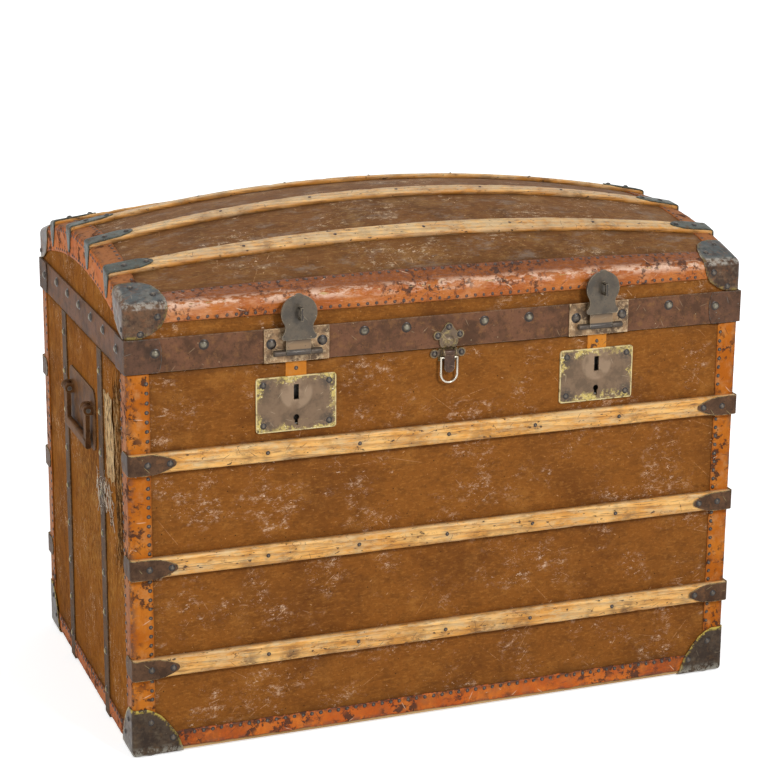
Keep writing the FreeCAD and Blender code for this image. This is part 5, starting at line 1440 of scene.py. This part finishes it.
rng = random.Random(17)
strap_heads, other_heads = sorted_heads("body_rivets",
                                        lambda at: abs(at.x) > HALF_L and abs(abs(at.y) - STRAP_Y) < 5)
make_heads("strap_rivet_heads", strap_heads, strap_rivet, "base", ["body_rivets"], 0.04)
make_heads("clamp_rivet_heads", other_heads, dark_rivet, "base", ["body_rivets"], 0.04)
catch_heads, other_heads = sorted_heads("lid_rivets", lambda at: at.y < -HALF_D and abs(at.x) < 30)
make_heads("catch_rivet_heads", catch_heads, dark_rivet, "lid", ["lid_rivets"], 0.04)
make_heads("lid_rivet_heads", other_heads, dark_rivet, "lid", ["lid_rivets"], 0.04)
make_heads("band_rivet_heads", read_heads("band_rivets"), band_rivet, "lid", ["band_rivets"], 0.05)
make_heads("body_nail_heads", read_heads("body_nails"), nail_head, "base", ["body_nails"], 0.14)
make_heads("lid_nail_heads", read_heads("lid_nails"), lid_nail_head, "lid", ["lid_nails"], 0.14, worn=0.82)

# %% [markdown]
# ## Torn paper and loose threads
# The paper is a thin skin with a ragged outline that lifts along one edge. A thread is a narrow
# cone of three sides, cut along its length and bent. Many of them lie at chance angles over the
# torn place, and upright ones in two colours make the frayed shreds beside the corner strip.

# %% Torn paper
PAPER_WIDE = 50
PAPER_TALL = 116


def torn_paper():
    bm = bmesh.new()

    def place(u, v):
        y = -180 + u * PAPER_WIDE
        z = 352 + v * PAPER_TALL
        side_tears = 6 * wander((0, v * 120, 3), 18, 2) + 3 * wander((0, v * 120, 3), 6, 5)
        y += side_tears * (1 if u < 0.5 else -0.6)
        y += (v - 0.5) * 10 - 8 * max(0.0, v - 0.8) * (1 - 2 * u)
        end_tears = 6 * wander((u * 60, 0, 9), 12, 4) + 3 * wander((u * 60, 0, 9), 5, 1)
        z += end_tears * (2 * v - 1)
        lifted = 0.8 + 1.6 * max(0.0, 0.2 - u) * 5 + 0.7 * wander((y, z, 4), 14, 6)
        return (-HALF_L - max(0.35, lifted), y, z)

    folded(bm, 24, 46, place, flip=True)
    return bm


finish_piece("torn_paper", torn_paper(), label_paper, "base", (), 0.3)


# %% Loose threads
def loose_threads(count, y_range, z_range, lengths, turn_range, out):
    """Threads on the left end; lengths and places in mm, turns in degrees from upright."""
    bm = bmesh.new()
    for _ in range(count):
        thread = bmesh.new()
        length = rng.uniform(*lengths)
        bmesh.ops.create_cone(thread, cap_ends=True, segments=3, radius1=0.55, radius2=0.25, depth=length)
        along = [e for e in thread.edges if e.calc_length() > length * 0.5]
        bmesh.ops.subdivide_edges(thread, edges=along, cuts=5)
        middle = Vector((-HALF_L - out - rng.uniform(0, 1.2), rng.uniform(*y_range), rng.uniform(*z_range)))
        turn = Matrix.Rotation(math.radians(rng.uniform(*turn_range)), 4, "X")
        bow, wave = rng.uniform(-0.18, 0.18) * length, rng.uniform(0, 6)
        for vert in join_meshes(bm, thread):
            t = vert.co.z / length
            vert.co.y += bow * (4 * t * t - 0.5) + 0.05 * length * math.sin(t * 7 + wave)
            vert.co.x -= 0.8 * (0.25 - t * t) * 4 * rng.uniform(0.9, 1.0)
            vert.co = turn @ vert.co + middle
    return bm


for name, finish, drawn in (
        ("loose_threads_low", loose_thread, (70, (-172, -80), (296, 350), (12, 34), (-80, 80), 0.9)),
        ("loose_threads_high", label_paper, (30, (-206, -184), (362, 486), (16, 44), (-14, 14), 0.7)),
        ("frayed_canvas_pale", straw_canvas, (110, (-219, -192), (268, 500), (14, 50), (-12, 12), 0.6)),
        ("frayed_canvas_dark", dark_canvas, (90, (-219, -186), (258, 500), (14, 46), (-12, 12), 0.5))):
    finish_piece(name, loose_threads(*drawn), finish, "base")

# %% [markdown]
# ## Hardware that keeps its exact shape
# Bands, hasps, locks, handles, hinges and stays are used as the frame has them. Their meshes are
# loose triangles, so a Weld joins the points first, and a Bevel then rounds each sharp edge by a
# few tenths of a millimetre, which is what catches the light on real sheet metal.

# %% Dressing the frame's own nodes
def dress(node, finish, rounding=0.5):
    """Gives one of the frame's nodes its material and rounds its edges by that many mm."""
    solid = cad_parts[node]
    solid.data.materials.clear()
    solid.data.materials.append(finish)
    if rounding:
        weld = solid.modifiers.new("join points", "WELD")
        weld.merge_threshold = 0.00001
        bevel = solid.modifiers.new("soft edges", "BEVEL")
        bevel.width = rounding / 1000
        bevel.segments = 2
        bevel.limit_method = "ANGLE"
        bevel.angle_limit = math.radians(38)
        bevel.use_clamp_overlap = True


for node, finish, rounding in (
        ("bottom_board", pine, 0.8), ("front_board", pine, 0), ("back_board", pine, 0),
        ("end_boards", pine, 0), ("body_lining", lining, 0), ("body_rim", pine, 0.6),
        ("slat_clamps", clamp_iron, 0.5), ("glides", dull_steel, 0.5), ("side_straps", strap_iron, 0.5),
        ("lock_plates", plate_brass, 0.6), ("lock_cases", dull_steel, 0), ("lock_tabs", tab_fibre, 0.3),
        ("left_bolt", dull_steel, 0.4), ("right_bolt", dull_steel, 0.4), ("handle_plates", handle_iron, 0.5),
        ("handle_pins", dull_steel, 0.3), ("left_handle", handle_iron, 0.8),
        ("right_handle", handle_iron, 0.8), ("latch_base", latch_brass, 0.3), ("latch_pin", dull_steel, 0.2),
        ("latch_lever", lever_iron, 0.8), ("latch_bail", bright_wire, 0), ("latch_catch", latch_brass, 0.3),
        ("lid_front_board", pine, 0), ("lid_back_board", pine, 0), ("lid_end_boards", pine, 0),
        ("dome_board", pine, 0), ("lid_lining", lining, 0), ("lid_band", band_iron, 0.6),
        ("band_corners", band_corner_iron, 0.5), ("hasp_plates", hinge_brass, 0.5),
        ("hasp_pins", latch_iron, 0.4), ("left_hasp", hasp_iron, 0.7), ("right_hasp", hasp_iron, 0.7),
        ("hinge_body_leaves", clamp_iron, 0.5), ("hinge_lid_leaves", clamp_iron, 0.5),
        ("hinge_pins", dull_steel, 0.4), ("stay_body_studs", dull_steel, 0.4),
        ("stay_lid_studs", dull_steel, 0.4), ("left_stay_lower", dull_steel, 0.4),
        ("left_stay_upper", dull_steel, 0.4), ("right_stay_lower", dull_steel, 0.4),
        ("right_stay_upper", dull_steel, 0.4)):
    dress(node, finish, rounding)
print("dressed the frame's own nodes")

# %% [markdown]
# ## Floor and light
# A white floor and a plain white world. Seen straight on, in a reflection or through glass both
# are white; as a light the world is a soft grey. A large lamp from the front right and weaker ones
# from the left and above give the soft shadows of a studio.

# %% Floor
floor_bm = bmesh.new()
bmesh.ops.create_grid(floor_bm, x_segments=2, y_segments=2, size=30.0)
floor_mesh = bpy.data.meshes.new("floor")
floor_bm.to_mesh(floor_mesh)
floor_bm.free()
floor = bpy.data.objects.new("floor", floor_mesh)
bpy.context.scene.collection.objects.link(floor)


def seen_directly(tree):
    """1 for rays from the camera, from a mirror-like surface or through glass."""
    path = add(tree, "ShaderNodeLightPath").outputs
    straight = maths(tree, "MAXIMUM", path["Is Camera Ray"], path["Is Transmission Ray"])
    return maths(tree, "MAXIMUM", straight, path["Is Glossy Ray"])


floor_paint = bpy.data.materials.new("white floor")
floor_paint.use_nodes = True
floor_tree = floor_paint.node_tree
floor_tree.nodes.clear()
floor_matt = add(floor_tree, "ShaderNodeBsdfDiffuse", {"Color": (0.85, 0.85, 0.85, 1)})
floor_place = add(floor_tree, "ShaderNodeTexCoord").outputs["Object"]
floor_far = vector_maths(floor_tree, "LENGTH", floor_place)
floor_lift = add(floor_tree, "ShaderNodeMapRange", {
    "Value": floor_far, "From Min": 0.5, "From Max": 1.4, "To Min": 0.66, "To Max": 1.0},
    interpolation_type="SMOOTHSTEP").outputs[0]
floor_glow = add(floor_tree, "ShaderNodeEmission", {"Color": (1, 1, 1, 1), "Strength": floor_lift})
floor_both = add(floor_tree, "ShaderNodeAddShader", {0: floor_matt.outputs[0], 1: floor_glow.outputs[0]})
floor_shown = add(floor_tree, "ShaderNodeMixShader", {0: seen_directly(floor_tree), 1: floor_matt.outputs[0],
                                                      2: floor_both.outputs[0]})
add(floor_tree, "ShaderNodeOutputMaterial", {"Surface": floor_shown.outputs[0]})
floor_mesh.materials.append(floor_paint)

# %% World
world = bpy.data.worlds.new("studio")
bpy.context.scene.world = world
world.use_nodes = True
world_tree = world.node_tree
world_tree.nodes.clear()
soft_light = add(world_tree, "ShaderNodeBackground", {"Color": (1, 1, 1, 1), "Strength": 0.27})
backdrop = add(world_tree, "ShaderNodeBackground", {"Color": (1, 1, 1, 1), "Strength": 1.0})
shown = add(world_tree, "ShaderNodeMixShader", {0: seen_directly(world_tree), 1: soft_light.outputs[0],
                                                2: backdrop.outputs[0]})
add(world_tree, "ShaderNodeOutputWorld", {"Surface": shown.outputs[0]})


# %% Lamps
def softbox(name, place, target, size, power):
    """A square lamp in metres and watts that looks at its target."""
    data = bpy.data.lights.new(name, "AREA")
    data.shape = "SQUARE"
    data.size = size
    data.energy = power
    lamp = bpy.data.objects.new(name, data)
    lamp.location = place
    lamp.rotation_euler = (Vector(target) - Vector(place)).to_track_quat("-Z", "Y").to_euler()
    bpy.context.scene.collection.objects.link(lamp)


softbox("key", (0.9, -3.0, 2.4), (0, 0, 0.35), 0.7, 72)
softbox("fill", (-3.0, -1.3, 1.7), (0, 0, 0.35), 1.6, 36)
softbox("top", (0.0, 0.9, 2.6), (0, 0, 0.6), 1.6, 10)
bpy.context.scene.view_settings.view_transform = "Standard"
print("lamps: key, fill, top")
